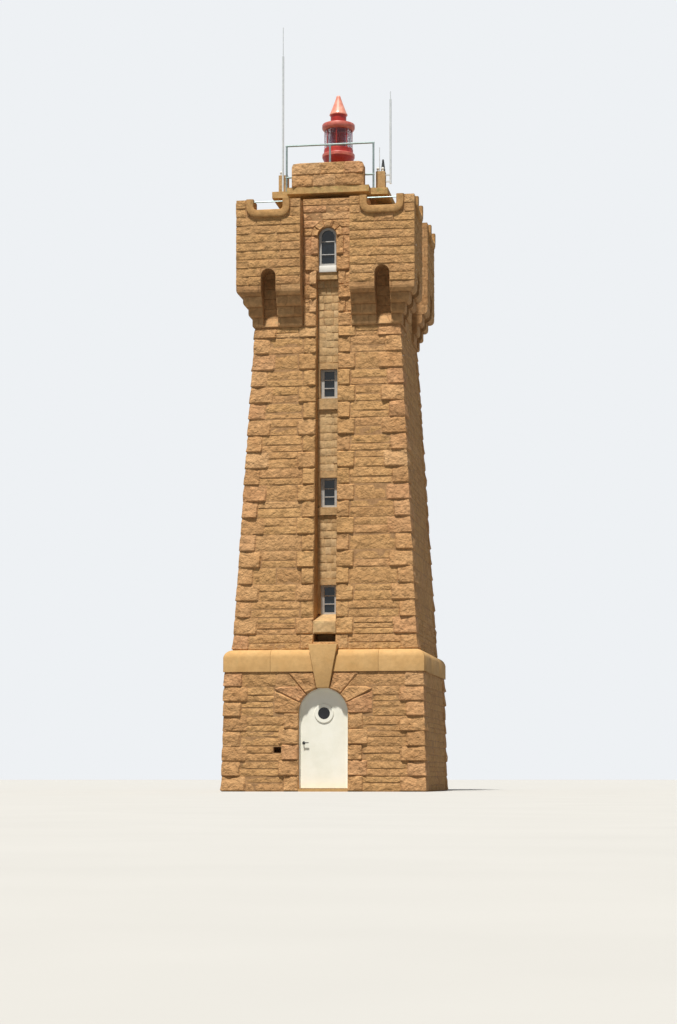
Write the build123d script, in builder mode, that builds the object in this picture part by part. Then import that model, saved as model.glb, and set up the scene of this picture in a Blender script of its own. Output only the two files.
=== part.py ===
from build123d import *
import os
from math import atan2, cos, degrees, radians, sin


# A square battered stone lighthouse with a corbelled crown and a red lantern.
# Millimetres, +Z up, the door faces -Y, origin at the centre of the foot.

# Base storey: half-width at the ground, lean of its faces and height under the string course
BASE_FOOT_HALF = 2067
BASE_LEAN = 50
BASE_HEIGHT = 2411
BASE_HEAD_HALF = BASE_FOOT_HALF - BASE_LEAN

# String course that separates the base storey from the shaft
STRING_PROUD = 31
STRING_FACE_HEIGHT = 294
STRING_BEVEL_HEIGHT = 153
STRING_BEVEL_REACH = 149
STRING_HALF = BASE_HEAD_HALF + STRING_PROUD
STRING_TOP_HALF = STRING_HALF - STRING_BEVEL_REACH
STRING_TOP = BASE_HEIGHT + STRING_FACE_HEIGHT + STRING_BEVEL_HEIGHT

# Shaft between the string course and the corbels
SHAFT_SETBACK = 18
SHAFT_LEAN = 377
SHAFT_HEIGHT = 6682
SHAFT_FOOT_HALF = STRING_TOP_HALF - SHAFT_SETBACK
SHAFT_HEAD_HALF = SHAFT_FOOT_HALF - SHAFT_LEAN
SHAFT_HEAD = STRING_TOP + SHAFT_HEIGHT

# Rooms and floors
HEAD_WALL_THICK = 454
ROOM_HALF = SHAFT_HEAD_HALF - HEAD_WALL_THICK
GROUND_FLOOR_THICK = 60
FLOOR_THICK = 150
UPPER_FLOOR_HEIGHTS = (2072, 4322)

# Corbel courses under the corner blocks: how far each stands out, from below
CORBEL_HEIGHT = 207
CORBEL_STEPS = (54, 72, 96, 119)
CORBEL_NOSE_SIDES = 4
CORBEL_TOP = SHAFT_HEAD + CORBEL_HEIGHT * len(CORBEL_STEPS)

# Crown: four corner blocks and a set-back bay on each side
CORNER_HEIGHT = 1784
CORNER_INNER = 511
CORNER_HALF = SHAFT_HEAD_HALF + sum(CORBEL_STEPS)
CORNER_CENTRE = (CORNER_INNER + CORNER_HALF) / 2
CORNER_TOP = CORBEL_TOP + CORNER_HEIGHT
BAY_RISE = 64
BAY_HALF = SHAFT_HEAD_HALF
BAY_TOP = CORNER_TOP + BAY_RISE
PARAPET_THICK = 254
PARAPET_INNER_HALF = BAY_HALF - PARAPET_THICK
TERRACE_DEPTH = 452
TERRACE_THICK = 150
TERRACE_TOP = CORNER_TOP - TERRACE_DEPTH

# Machicolation slots in the corner blocks
SLOT_WIDTH = 310
SLOT_SIDES = 16
SLOT_SPRING_RISE = 192
SLOT_SILL_RISE = 290
SLOT_INSET = 80
SLOT_SPRING = CORBEL_TOP + SLOT_SPRING_RISE
SLOT_SILL = SHAFT_HEAD + SLOT_SILL_RISE
SLOT_BACK = SHAFT_HEAD_HALF - SLOT_INSET
SLOT_SILL_FRONT = SHAFT_HEAD_HALF + CORBEL_STEPS[0]

# Crenels and the rounded U moulding around each of them
CRENEL_WIDTH = 610
CRENEL_DEPTH = 218
CRENEL_CORNER = 60
CRENEL_CORNER_SIDES = 4
CRENEL_FLOOR = CORNER_TOP - CRENEL_DEPTH
MOULDING_WIDTH = 150
MOULDING_PROUD = 55
MOULDING_CHAMFER = 28
CRENEL_BAR_RADIUS = 14
CRENEL_BAR_SIDES = 8
CRENEL_BAR_DROP = 40

# Entrance: round-arched doorway, rebate, frame and leaf
DOOR_RADIUS = 506
ARCH_COVER = 333
JAMB_WIDTH = 300
REBATE_DEPTH = 72
REBATE_WIDTH = 114
DOOR_SPRING = BASE_HEIGHT - ARCH_COVER - DOOR_RADIUS
JAMB_OUTER = DOOR_RADIUS + JAMB_WIDTH
REBATE_Y = -BASE_HEAD_HALF + REBATE_DEPTH
REVEAL_HALF = DOOR_RADIUS + REBATE_WIDTH
REVEAL_HEAD = DOOR_SPRING + REVEAL_HALF
FRAME_COVER = 74
FRAME_DEPTH = 90
FRAME_LIP = 40
FRAME_LIP_WIDTH = 26
FRAME_RADIUS = DOOR_RADIUS + FRAME_COVER
FRAME_LIP_RADIUS = DOOR_RADIUS - FRAME_LIP_WIDTH
FRAME_BACK = REBATE_Y + FRAME_DEPTH
LEAF_LAP = 20
LEAF_THICK = 45
LEAF_GAP = 8
LEAF_STOP_GAP = 5
LEAF_RADIUS = FRAME_LIP_RADIUS + LEAF_LAP
LEAF_FACE = REBATE_Y + FRAME_LIP + LEAF_STOP_GAP
LEAF_BACK = LEAF_FACE + LEAF_THICK

# Square vent in the front wall, left of the door
VENT_BESIDE = 44
VENT_HEIGHT_ABOVE = 775
VENT_WIDTH = 160
VENT_HEIGHT = 120
VENT_DEPTH = 300

# Keystone that breaks through the string course
KEYSTONE_FOOT_WIDTH = 256
KEYSTONE_HEAD_WIDTH = 587
KEYSTONE_RISE = 102
KEYSTONE_PROUD = 60
KEYSTONE_DROP = 24
KEYSTONE_FOOT = DOOR_SPRING + DOOR_RADIUS - KEYSTONE_DROP
KEYSTONE_TOP = STRING_TOP + KEYSTONE_RISE

# Hinges: pintles on the frame, straps with knuckles on the leaf
HINGE_LOW = 380
HINGE_MIDDLE = 980
HINGE_BELOW_SPRING = 12
HINGE_HEIGHTS = (HINGE_LOW, HINGE_MIDDLE, DOOR_SPRING - HINGE_BELOW_SPRING)
HINGE_SIDES = 12
PIN_RADIUS = 6
PIN_LENGTH = 44
PIN_OFFSET = 20
KNUCKLE_RADIUS = 12
KNUCKLE_LENGTH = 40
STRAP_LENGTH = 420
STRAP_HEIGHT = 38
STRAP_THICK = 6
HINGE_PLAY = 0.3
HINGE_X = LEAF_RADIUS + LEAF_GAP / 2
HINGE_Y = LEAF_BACK + PIN_OFFSET

# Porthole and lever handle of the door
PORTHOLE_RADIUS = 122
PORTHOLE_RING_WIDTH = 76
PORTHOLE_RING_THICK = 18
PORTHOLE_RING_BEVEL = 10
PORTHOLE_GLASS_THICK = 12
PORTHOLE_SIDES = 32
HANDLE_INSET = 86
HANDLE_HEIGHT = 979
HANDLE_PLATE_RADIUS = 30
HANDLE_PLATE_THICK = 8
HANDLE_REACH = 52
HANDLE_LENGTH = 115
HANDLE_RADIUS = 10
HANDLE_SIDES = 12
HANDLE_X = -LEAF_RADIUS + HANDLE_INSET

# Recessed strip with the shaft windows, in the middle of the front wall. Its back is upright and
# the wall leans, so it is shallow at the head and deep at the foot.
STRIP_WIDTH = 464
STRIP_RISE = 159
STRIP_HEAD_RECESS = 200
STRIP_HALF = STRIP_WIDTH / 2
STRIP_FOOT = STRING_TOP + STRIP_RISE
STRIP_BACK = SHAFT_HEAD_HALF - STRIP_HEAD_RECESS
SURROUND_PROUD = 15
WINDOW_WIDTH = 360
WINDOW_HEIGHT = 600
WINDOW_HEAD_HEIGHTS = (1362, 3574, 5832)
LINTEL_HEIGHT = 120
SILL_HEIGHTS = (435, 175, 245)
SILL_SLOPES = (190, 20, 20)
LOW_SILL_PROUD = 30
SILL_PROUD = 48
WINDOW_HEADS = [STRING_TOP + height for height in WINDOW_HEAD_HEIGHTS]

# Window frames and panes
WINDOW_FRAME_RECESS = 90
WINDOW_FRAME_WIDTH = 75
WINDOW_FRAME_HEIGHT = 40
WINDOW_FRAME_DEPTH = 60
PANE_THICK = 8
PANE_HALF = WINDOW_WIDTH / 2 - WINDOW_FRAME_WIDTH
WINDOW_FRAME_FACE = -STRIP_BACK + WINDOW_FRAME_RECESS
WINDOW_FRAME_BACK = WINDOW_FRAME_FACE + WINDOW_FRAME_DEPTH
PANE_FACE = WINDOW_FRAME_FACE + WINDOW_FRAME_DEPTH / 2

# Arched window of the front crown bay
CROWN_WINDOW_HALF = 185
CROWN_WINDOW_DROP = 599
CROWN_WINDOW_HEIGHT = 798
CROWN_FRAME_WIDTH = 50
CROWN_FRAME_RECESS = 90
CROWN_SILL_HEIGHT = 127
CROWN_SILL_RECESS = 60
STONE_SILL_HEIGHT = 150
STONE_SILL_RECESS = 85
CROWN_WINDOW_TOP = BAY_TOP - CROWN_WINDOW_DROP
CROWN_WINDOW_SPRING = CROWN_WINDOW_TOP - CROWN_WINDOW_HALF
CROWN_WINDOW_FOOT = CROWN_WINDOW_TOP - CROWN_WINDOW_HEIGHT
CROWN_OPENING_FOOT = CROWN_WINDOW_FOOT - CROWN_SILL_HEIGHT
STRIP_HEAD = CROWN_OPENING_FOOT - STONE_SILL_HEIGHT
CROWN_FRAME_FACE = -BAY_HALF + CROWN_FRAME_RECESS
CROWN_FRAME_BACK = CROWN_FRAME_FACE + WINDOW_FRAME_DEPTH

# Lantern platform above the terrace
PLATFORM_CORE_HALF = 900
PLATFORM_CORE_WALL = 200
PLATFORM_OVERHANG = 315
PLATFORM_RISE = 129
PLATFORM_THICK = 135
TONGUE_HALF = 860
TONGUE_REACH = 265
PLATFORM_HALF = PLATFORM_CORE_HALF + PLATFORM_OVERHANG
PLATFORM_FOOT = BAY_TOP + PLATFORM_RISE
PLATFORM_TOP = PLATFORM_FOOT + PLATFORM_THICK
TONGUE_FRONT = PLATFORM_HALF + TONGUE_REACH
FRONT_BLOCK_WIDTH = 1510
FRONT_BLOCK_HEIGHT = 507
FRONT_BLOCK_DEPTH = 230
FRONT_BLOCK_ROUND = 90
POST_INSET = 185
POST_SETBACK = 365
POST_WIDTH = 190
POST_HEIGHT = 420
POST_X = PLATFORM_HALF - POST_INSET
POST_Y = -PLATFORM_HALF + POST_SETBACK
POST_TOP = PLATFORM_TOP + POST_HEIGHT
POST_FACE = POST_Y - POST_WIDTH / 2
POST_SIDE = POST_X + POST_WIDTH / 2

# Railing behind the front block
RAILING_WIDTH = 1830
RAILING_HEIGHT = 990
RAILING_MID_HEIGHT = 300
RAILING_SETBACK = 50
RAILING_SIDES = 12
RAIL_RADIUS = 21
RAIL_FLANGE_RADIUS = 45
RAIL_FLANGE_THICK = 10
RAILING_Y = -PLATFORM_HALF + RAILING_SETBACK

# Lantern: pedestal, glazed drum, cornice and conical roof
LANTERN_SIDES = 32
PEDESTAL_RADIUS = 150
PEDESTAL_FLANGE_RADIUS = 240
PEDESTAL_FLANGE_THICK = 25
PEDESTAL_HEIGHT = 553
FLARE_HEIGHT = 452
LANTERN_RING_RADIUS = 348
LANTERN_RING_HEIGHT = 75
DRUM_BASE_RADIUS = 312
DRUM_BASE_HEIGHT = 110
DRUM_HEIGHT = 407
DRUM_RADIUS = 290
DRUM_PANE_THICK = 8
ASTRAGAL_COUNT = 8
ASTRAGAL_WIDTH = 14
ASTRAGAL_THICK = 12
LAMP_RADIUS = 150
LAMP_HEIGHT = 360
CORNICE_RADIUS = 350
CORNICE_FLARE = 40
CORNICE_HEIGHT = 173
NECK_RADIUS = 168
NECK_HEIGHT = 162
ROOF_RADIUS = 193
ROOF_EDGE = 30
ROOF_HEIGHT = 399
FINIAL_RADIUS = 26
FLARE_FOOT = PLATFORM_TOP + PEDESTAL_HEIGHT
LANTERN_RING_FOOT = FLARE_FOOT + FLARE_HEIGHT
LANTERN_RING_TOP = LANTERN_RING_FOOT + LANTERN_RING_HEIGHT
DRUM_FOOT = LANTERN_RING_TOP + DRUM_BASE_HEIGHT
DRUM_TOP = DRUM_FOOT + DRUM_HEIGHT
CORNICE_TOP = DRUM_TOP + CORNICE_HEIGHT
NECK_TOP = CORNICE_TOP + NECK_HEIGHT
ROOF_TOP = NECK_TOP + ROOF_HEIGHT

# Whip antennas and the small instrument beside the lantern
LEFT_WHIP_HEIGHT = 2960
LEFT_WHIP_TIP = 620
RIGHT_WHIP_RISE = 170
RIGHT_WHIP_HEIGHT = 1800
RIGHT_WHIP_TIP = 165
SHORT_WHIP_INSET = 30
SHORT_WHIP_HEIGHT = 530
WHIP_RADIUS = 22
WHIP_THIN_RADIUS = 9
WHIP_SIDES = 10
BRACKET_REACH = 85
BRACKET_WIDTH = 30
BRACKET_HEIGHTS = (220, 360)
INSTRUMENT_BESIDE = 45
INSTRUMENT_FOOT_RADIUS = 50
INSTRUMENT_HEAD_RADIUS = 18
INSTRUMENT_HEIGHT = 270
INSTRUMENT_SIDES = 16

# Far outside the tower, for cutters that run through
FAR = 3 * BASE_FOOT_HALF

QUARTER_TURNS = (0, 90, 180, 270)
CORNERS = {"front_left": -90, "front_right": 0, "back_right": 90, "back_left": 180}


# Half-width of the shaft's battered faces at a height
def shaft_half(height):
    share = (height - STRING_TOP) / (SHAFT_HEAD - STRING_TOP)
    return SHAFT_FOOT_HALF + (SHAFT_HEAD_HALF - SHAFT_FOOT_HALF) * share


# A box from its lowest to its highest corner
def block(low, high, mode=Mode.ADD):
    middle = tuple((a + b) / 2 for a, b in zip(low, high))
    size = tuple(b - a for a, b in zip(low, high))
    with Locations(middle):
        Box(*size, mode=mode)


# A square slice of the tower whose faces lean inwards
def battered_slice(low, high, low_half, high_half):
    lean = degrees(atan2(low_half - high_half, high - low))
    with BuildSketch(Plane.XY.offset(low)) as foot:
        Rectangle(2 * low_half, 2 * low_half)
    extrude(foot.sketch, amount=high - low, taper=lean)


def base_slice():
    battered_slice(0, BASE_HEIGHT, BASE_FOOT_HALF, BASE_HEAD_HALF)


def shaft_slice():
    battered_slice(STRING_TOP, SHAFT_HEAD, SHAFT_FOOT_HALF, SHAFT_HEAD_HALF)


# A round-headed doorway outline as a prism between two planes along Y
def arched_prism(half, foot, spring, front, back, centre=0, sides=0, mode=Mode.ADD):
    with BuildSketch(Plane.XZ.offset(-back)) as outline:
        with Locations((centre, (foot + spring) / 2)):
            Rectangle(2 * half, spring - foot)
        with Locations((centre, spring)):
            if sides:
                RegularPolygon(half, sides)
            else:
                Circle(half)
    extrude(outline.sketch, amount=back - front, mode=mode)


# Points of a quarter-round drawn with a few flat sides
def quarter_round(centre, radius, start, sides):
    angles = [radians(start + 90 * step / sides) for step in range(sides + 1)]
    return [(centre[0] + radius * cos(a), centre[1] + radius * sin(a)) for a in angles]


# A bar with a few flat sides, from its foot along a direction, straight or tapered
def bar(foot, direction, length, radius, sides, end_radius=None, mode=Mode.ADD):
    lean = degrees(atan2(radius - (radius if end_radius is None else end_radius), length))
    with BuildSketch(Plane(origin=foot, z_dir=direction)) as section:
        RegularPolygon(radius, sides)
    extrude(section.sketch, amount=length, taper=lean, mode=mode)


# Each finished piece gets its name and its file
def save(part, label):
    part.label = label
    export_step(part, f"parts/{label}.step")


os.makedirs("parts", exist_ok=True)

# Floors: at the door, on the string course, at the shaft windows and in the crown
with BuildPart() as room_floors:
    block((-ROOM_HALF, -ROOM_HALF, 0), (ROOM_HALF, ROOM_HALF, GROUND_FLOOR_THICK))
    upper_floors = [STRING_TOP + height for height in UPPER_FLOOR_HEIGHTS]
    for top in (STRING_TOP, *upper_floors, CORBEL_TOP - CORBEL_HEIGHT):
        block((-ROOM_HALF, -ROOM_HALF, top - FLOOR_THICK), (ROOM_HALF, ROOM_HALF, top))
save(room_floors.part, "room_floors")

# Stone threshold in the doorway
with BuildPart() as door_threshold:
    base_slice()
    block((-DOOR_RADIUS, -FAR, 0), (DOOR_RADIUS, -ROOM_HALF, GROUND_FLOOR_THICK), Mode.INTERSECT)
    block((-REVEAL_HALF, REBATE_Y, 0), (REVEAL_HALF, -ROOM_HALF, GROUND_FLOOR_THICK))
save(door_threshold.part, "door_threshold")

# Base storey walls, split beside the doorway
WALL_SPLITS = {
    "front_left_wall": ((-FAR, -FAR), (-JAMB_OUTER, -ROOM_HALF)),
    "front_right_wall": ((JAMB_OUTER, -FAR), (FAR, -ROOM_HALF)),
    "left_wall": ((-FAR, -ROOM_HALF), (-ROOM_HALF, ROOM_HALF)),
    "right_wall": ((ROOM_HALF, -ROOM_HALF), (FAR, ROOM_HALF)),
    "back_wall": ((-FAR, ROOM_HALF), (FAR, FAR)),
}
for wall, (low, high) in WALL_SPLITS.items():
    with BuildPart() as base_wall:
        base_slice()
        block((*low, 0), (*high, BASE_HEIGHT), Mode.INTERSECT)
        if wall == "front_left_wall":
            block(
                (-JAMB_OUTER - VENT_BESIDE - VENT_WIDTH, -FAR, VENT_HEIGHT_ABOVE),
                (-JAMB_OUTER - VENT_BESIDE, -BASE_HEAD_HALF + VENT_DEPTH, VENT_HEIGHT_ABOVE + VENT_HEIGHT),
                Mode.SUBTRACT,
            )
    save(base_wall.part, f"base_{wall}")

# Door jambs with the rebate that the frame stands against
with BuildPart() as door_jambs:
    base_slice()
    block((-JAMB_OUTER, -FAR, 0), (JAMB_OUTER, -ROOM_HALF, DOOR_SPRING), Mode.INTERSECT)
    block((-DOOR_RADIUS, -FAR, 0), (DOOR_RADIUS, -ROOM_HALF, DOOR_SPRING), Mode.SUBTRACT)
    block((-REVEAL_HALF, REBATE_Y, 0), (REVEAL_HALF, -ROOM_HALF, DOOR_SPRING), Mode.SUBTRACT)
save(door_jambs.part, "door_jambs")


# The keystone's wedge, as wide as the stone at the arch and at its head, started inside the opening
def keystone_wedge(back, front, mode=Mode.ADD):
    with BuildSketch(Plane.XZ.offset(-back)) as wedge:
        with BuildLine():
            Polyline(
                (-KEYSTONE_FOOT_WIDTH / 2, KEYSTONE_FOOT),
                (KEYSTONE_FOOT_WIDTH / 2, KEYSTONE_FOOT),
                (KEYSTONE_HEAD_WIDTH / 2, KEYSTONE_TOP),
                (-KEYSTONE_HEAD_WIDTH / 2, KEYSTONE_TOP),
                close=True,
            )
        make_face()
    extrude(wedge.sketch, amount=back - front, mode=mode)


# Stones of the door arch, up to the string course
with BuildPart() as door_arch:
    base_slice()
    block((-JAMB_OUTER, -FAR, DOOR_SPRING), (JAMB_OUTER, -ROOM_HALF, BASE_HEIGHT), Mode.INTERSECT)
    arched_prism(DOOR_RADIUS, 0, DOOR_SPRING, -FAR, REBATE_Y, mode=Mode.SUBTRACT)
    block((-REVEAL_HALF, REBATE_Y, 0), (REVEAL_HALF, -ROOM_HALF, REVEAL_HEAD), Mode.SUBTRACT)
    keystone_wedge(-SHAFT_FOOT_HALF, -FAR, Mode.SUBTRACT)
save(door_arch.part, "door_arch")

with BuildPart() as door_keystone:
    keystone_wedge(-SHAFT_FOOT_HALF, -STRING_HALF - KEYSTONE_PROUD)
    arched_prism(DOOR_RADIUS, 0, DOOR_SPRING, -FAR, REBATE_Y, mode=Mode.SUBTRACT)
    block((-REVEAL_HALF, REBATE_Y, 0), (REVEAL_HALF, -ROOM_HALF, REVEAL_HEAD), Mode.SUBTRACT)
save(door_keystone.part, "door_keystone")

# String course with a sloping weathering, broken by the keystone
with BuildPart() as string_course:
    with BuildSketch(Plane.XY.offset(BASE_HEIGHT)) as course:
        Rectangle(2 * STRING_HALF, 2 * STRING_HALF)
    extrude(course.sketch, amount=STRING_FACE_HEIGHT)
    battered_slice(BASE_HEIGHT + STRING_FACE_HEIGHT, STRING_TOP, STRING_HALF, STRING_TOP_HALF)
    block((-ROOM_HALF, -ROOM_HALF, 0), (ROOM_HALF, ROOM_HALF, STRING_TOP), Mode.SUBTRACT)
    keystone_wedge(-SHAFT_FOOT_HALF, -FAR, Mode.SUBTRACT)
save(string_course.part, "string_course")

# Door frame: an arched ring with a lip that the leaf closes against
with BuildPart() as door_frame:
    arched_prism(FRAME_RADIUS, GROUND_FLOOR_THICK, DOOR_SPRING, REBATE_Y, FRAME_BACK)
    arched_prism(FRAME_LIP_RADIUS, 0, DOOR_SPRING, -FAR, 0, mode=Mode.SUBTRACT)
    arched_prism(
        LEAF_RADIUS + LEAF_GAP, 0, DOOR_SPRING, REBATE_Y + FRAME_LIP, 0, mode=Mode.SUBTRACT
    )
save(door_frame.part, "door_frame")

# Door leaf with the porthole cut through it
with BuildPart() as door_leaf:
    arched_prism(LEAF_RADIUS, GROUND_FLOOR_THICK + LEAF_GAP, DOOR_SPRING, LEAF_FACE, LEAF_BACK)
    hole = (0, LEAF_BACK, DOOR_SPRING)
    bar(hole, (0, -1, 0), LEAF_THICK, PORTHOLE_RADIUS, PORTHOLE_SIDES, mode=Mode.SUBTRACT)
save(door_leaf.part, "door_leaf")

# Porthole: a bevelled ring on the face and the glass in the hole
with BuildPart() as door_porthole_ring:
    centre = (0, LEAF_FACE, DOOR_SPRING)
    ring_radius = PORTHOLE_RADIUS + PORTHOLE_RING_WIDTH
    bar(centre, (0, -1, 0), PORTHOLE_RING_THICK, ring_radius, PORTHOLE_SIDES)
    face_edges = door_porthole_ring.faces().sort_by(Axis.Y)[0].edges()
    chamfer(face_edges, PORTHOLE_RING_BEVEL)
    bar(centre, (0, -1, 0), PORTHOLE_RING_THICK, PORTHOLE_RADIUS, PORTHOLE_SIDES, mode=Mode.SUBTRACT)
save(door_porthole_ring.part, "door_porthole_ring")

with BuildPart() as door_porthole_glass:
    centre = (0, LEAF_FACE + LEAF_THICK / 2, DOOR_SPRING)
    bar(centre, (0, -1, 0), PORTHOLE_GLASS_THICK, PORTHOLE_RADIUS - HINGE_PLAY, PORTHOLE_SIDES)
save(door_porthole_glass.part, "door_porthole_glass")

# Lever handle on a round plate
with BuildPart() as door_handle:
    foot = (HANDLE_X, LEAF_FACE, HANDLE_HEIGHT)
    bar(foot, (0, -1, 0), HANDLE_PLATE_THICK, HANDLE_PLATE_RADIUS, PORTHOLE_SIDES)
    bar(foot, (0, -1, 0), HANDLE_REACH + HANDLE_RADIUS, HANDLE_RADIUS, HANDLE_SIDES)
    lever_foot = (HANDLE_X - HANDLE_RADIUS, LEAF_FACE - HANDLE_REACH, HANDLE_HEIGHT)
    bar(lever_foot, (1, 0, 0), HANDLE_LENGTH, HANDLE_RADIUS, HANDLE_SIDES)
save(door_handle.part, "door_handle")

# Pintles: a plate on the frame's back, a lug and the upright pin
with BuildPart() as door_pintles:
    for height in HINGE_HEIGHTS:
        lug = height - STRAP_HEIGHT / 2 - KNUCKLE_LENGTH / 2
        plate_edge = FRAME_RADIUS - LEAF_GAP
        block(
            (LEAF_RADIUS + LEAF_GAP, FRAME_BACK, lug - KNUCKLE_LENGTH),
            (plate_edge, HINGE_Y + PIN_RADIUS, lug),
        )
        block(
            (HINGE_X - PIN_RADIUS, HINGE_Y - PIN_RADIUS, lug - KNUCKLE_LENGTH / 2),
            (plate_edge, HINGE_Y + PIN_RADIUS, lug),
        )
        bar((HINGE_X, HINGE_Y, lug), (0, 0, 1), PIN_LENGTH, PIN_RADIUS, HINGE_SIDES)
save(door_pintles.part, "door_pintles")

# Straps across the back of the leaf, each ending in a knuckle round its pin
with BuildPart() as door_straps:
    for height in HINGE_HEIGHTS:
        knuckle = height - STRAP_HEIGHT / 2 - KNUCKLE_LENGTH / 2 + HINGE_PLAY
        block(
            (HINGE_X - STRAP_LENGTH, LEAF_BACK, knuckle),
            (LEAF_RADIUS - PIN_RADIUS, LEAF_BACK + STRAP_THICK, knuckle + STRAP_HEIGHT),
        )
        block(
            (HINGE_X - 2 * KNUCKLE_RADIUS, LEAF_BACK, knuckle),
            (LEAF_RADIUS - PIN_RADIUS, HINGE_Y, knuckle + STRAP_HEIGHT),
        )
        foot = (HINGE_X, HINGE_Y, knuckle)
        bar(foot, (0, 0, 1), STRAP_HEIGHT, KNUCKLE_RADIUS, HINGE_SIDES)
        bar(foot, (0, 0, 1), STRAP_HEIGHT, PIN_RADIUS + HINGE_PLAY, HINGE_SIDES, mode=Mode.SUBTRACT)
save(door_straps.part, "door_straps")

# Shaft walls, split beside the window strip
SHAFT_SPLITS = {
    "front_left_wall": ((-FAR, -FAR), (-STRIP_HALF, -ROOM_HALF)),
    "front_right_wall": ((STRIP_HALF, -FAR), (FAR, -ROOM_HALF)),
    "left_wall": ((-FAR, -ROOM_HALF), (-ROOM_HALF, ROOM_HALF)),
    "right_wall": ((ROOM_HALF, -ROOM_HALF), (FAR, ROOM_HALF)),
    "back_wall": ((-FAR, ROOM_HALF), (FAR, FAR)),
}
for wall, (low, high) in SHAFT_SPLITS.items():
    with BuildPart() as shaft_wall:
        shaft_slice()
        block((*low, 0), (*high, SHAFT_HEAD), Mode.INTERSECT)
    save(shaft_wall.part, f"shaft_{wall}")

# Heights of the strip's sills and surrounds
sill_tops = [head - WINDOW_HEIGHT for head in WINDOW_HEADS]
sill_feet = [top - height for top, height in zip(sill_tops, SILL_HEIGHTS)]
surround_heads = [head + LINTEL_HEIGHT for head in WINDOW_HEADS]

# Wall below the strip, flush with its neighbours
with BuildPart() as strip_foot:
    shaft_slice()
    block((-STRIP_HALF, -FAR, 0), (STRIP_HALF, -ROOM_HALF, STRIP_FOOT), Mode.INTERSECT)

# Panels of small stones at the back of the strip, between the windows
with BuildPart() as strip_panels:
    block((-STRIP_HALF, -STRIP_BACK, STRIP_FOOT), (STRIP_HALF, -ROOM_HALF, SHAFT_HEAD))
    for foot, head in zip(sill_feet, surround_heads):
        block((-STRIP_HALF, -FAR, foot), (STRIP_HALF, 0, head), Mode.SUBTRACT)
    add(strip_foot.part)
save(strip_panels.part, "strip_panels")

# Dressed surrounds with the window openings cut through the wall
with BuildPart() as window_surrounds:
    for sill, head, surround_head in zip(sill_tops, WINDOW_HEADS, surround_heads):
        block((-STRIP_HALF, -STRIP_BACK - SURROUND_PROUD, sill), (STRIP_HALF, -ROOM_HALF, surround_head))
        block((-WINDOW_WIDTH / 2, -FAR, sill), (WINDOW_WIDTH / 2, 0, head), Mode.SUBTRACT)
save(window_surrounds.part, "window_surrounds")

# Sills with a sloping top: the lowest fills the deep strip out to the wall's face, the others only
# stand proud of its back
low_sill_face = -shaft_half(sill_feet[0]) - LOW_SILL_PROUD
upper_sill_face = -STRIP_BACK - SILL_PROUD
sill_faces = (low_sill_face, upper_sill_face, upper_sill_face)
with BuildPart() as window_sills:
    for top, foot, slope, face in zip(sill_tops, sill_feet, SILL_SLOPES, sill_faces):
        with BuildSketch(Plane.YZ.offset(-STRIP_HALF)) as profile:
            with BuildLine():
                Polyline(
                    (-ROOM_HALF, foot),
                    (face, foot),
                    (face, top - slope),
                    (WINDOW_FRAME_FACE, top),
                    (-ROOM_HALF, top),
                    close=True,
                )
            make_face()
        extrude(profile.sketch, amount=STRIP_WIDTH)
    block(
        (-STRIP_HALF, -BAY_HALF + STONE_SILL_RECESS, STRIP_HEAD),
        (STRIP_HALF, -STRIP_BACK, CROWN_OPENING_FOOT),
    )
save(window_sills.part, "window_sills")

# Terrace floor on the ledge inside the parapet
with BuildPart() as terrace_floor:
    block(
        (-PARAPET_INNER_HALF, -PARAPET_INNER_HALF, TERRACE_TOP - TERRACE_THICK),
        (PARAPET_INNER_HALF, PARAPET_INNER_HALF, TERRACE_TOP),
    )
save(terrace_floor.part, "terrace_floor")


# Outline of a corner block seen along its face: rounded corbel courses below a plain wall
def crown_outline(plane):
    reach = SHAFT_HEAD_HALF
    height = SHAFT_HEAD
    points = [(CORNER_INNER, height)]
    for step in CORBEL_STEPS:
        points += quarter_round((reach, height + step), step, -90, CORBEL_NOSE_SIDES)
        reach += step
        height += CORBEL_HEIGHT
    points += [(reach, CORNER_TOP), (CORNER_INNER, CORNER_TOP)]
    with BuildSketch(plane) as outline:
        with BuildLine():
            Polyline(*points, close=True)
        make_face()
    return outline.sketch


# Round-headed machicolation slot down to its sloping sill, in a front face
with BuildPart() as slot_cutter:
    arched_prism(SLOT_WIDTH / 2, SHAFT_HEAD, SLOT_SPRING, -FAR, -SLOT_BACK, CORNER_CENTRE, SLOT_SIDES)
    with BuildSketch(Plane.YZ.offset(CORNER_CENTRE - SLOT_WIDTH / 2)) as slope:
        with BuildLine():
            Polyline(
                (-SLOT_BACK, SHAFT_HEAD),
                (-SLOT_BACK, SLOT_SILL),
                (-SLOT_SILL_FRONT, SHAFT_HEAD),
                close=True,
            )
        make_face()
    extrude(amount=SLOT_WIDTH, mode=Mode.SUBTRACT)


# A U outline round a crenel, this far outside its opening
def crenel_outline(margin):
    left = CORNER_CENTRE - CRENEL_WIDTH / 2 - margin
    right = CORNER_CENTRE + CRENEL_WIDTH / 2 + margin
    foot = CRENEL_FLOOR - margin
    radius = CRENEL_CORNER + margin
    points = [
        (left, CORNER_TOP),
        *quarter_round((left + radius, foot + radius), radius, 180, CRENEL_CORNER_SIDES),
        *quarter_round((right - radius, foot + radius), radius, 270, CRENEL_CORNER_SIDES),
        (right, CORNER_TOP),
    ]
    with BuildSketch(Plane.XZ.offset(CORNER_HALF)) as outline:
        with BuildLine():
            Polyline(*points, close=True)
        make_face()
    return outline.sketch


# Crenel through the parapet of a front face, and the roll round it
with BuildPart() as crenel_cutter:
    extrude(crenel_outline(0), amount=MOULDING_PROUD)
    extrude(crenel_outline(0), amount=PARAPET_INNER_HALF - CORNER_HALF)

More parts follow.
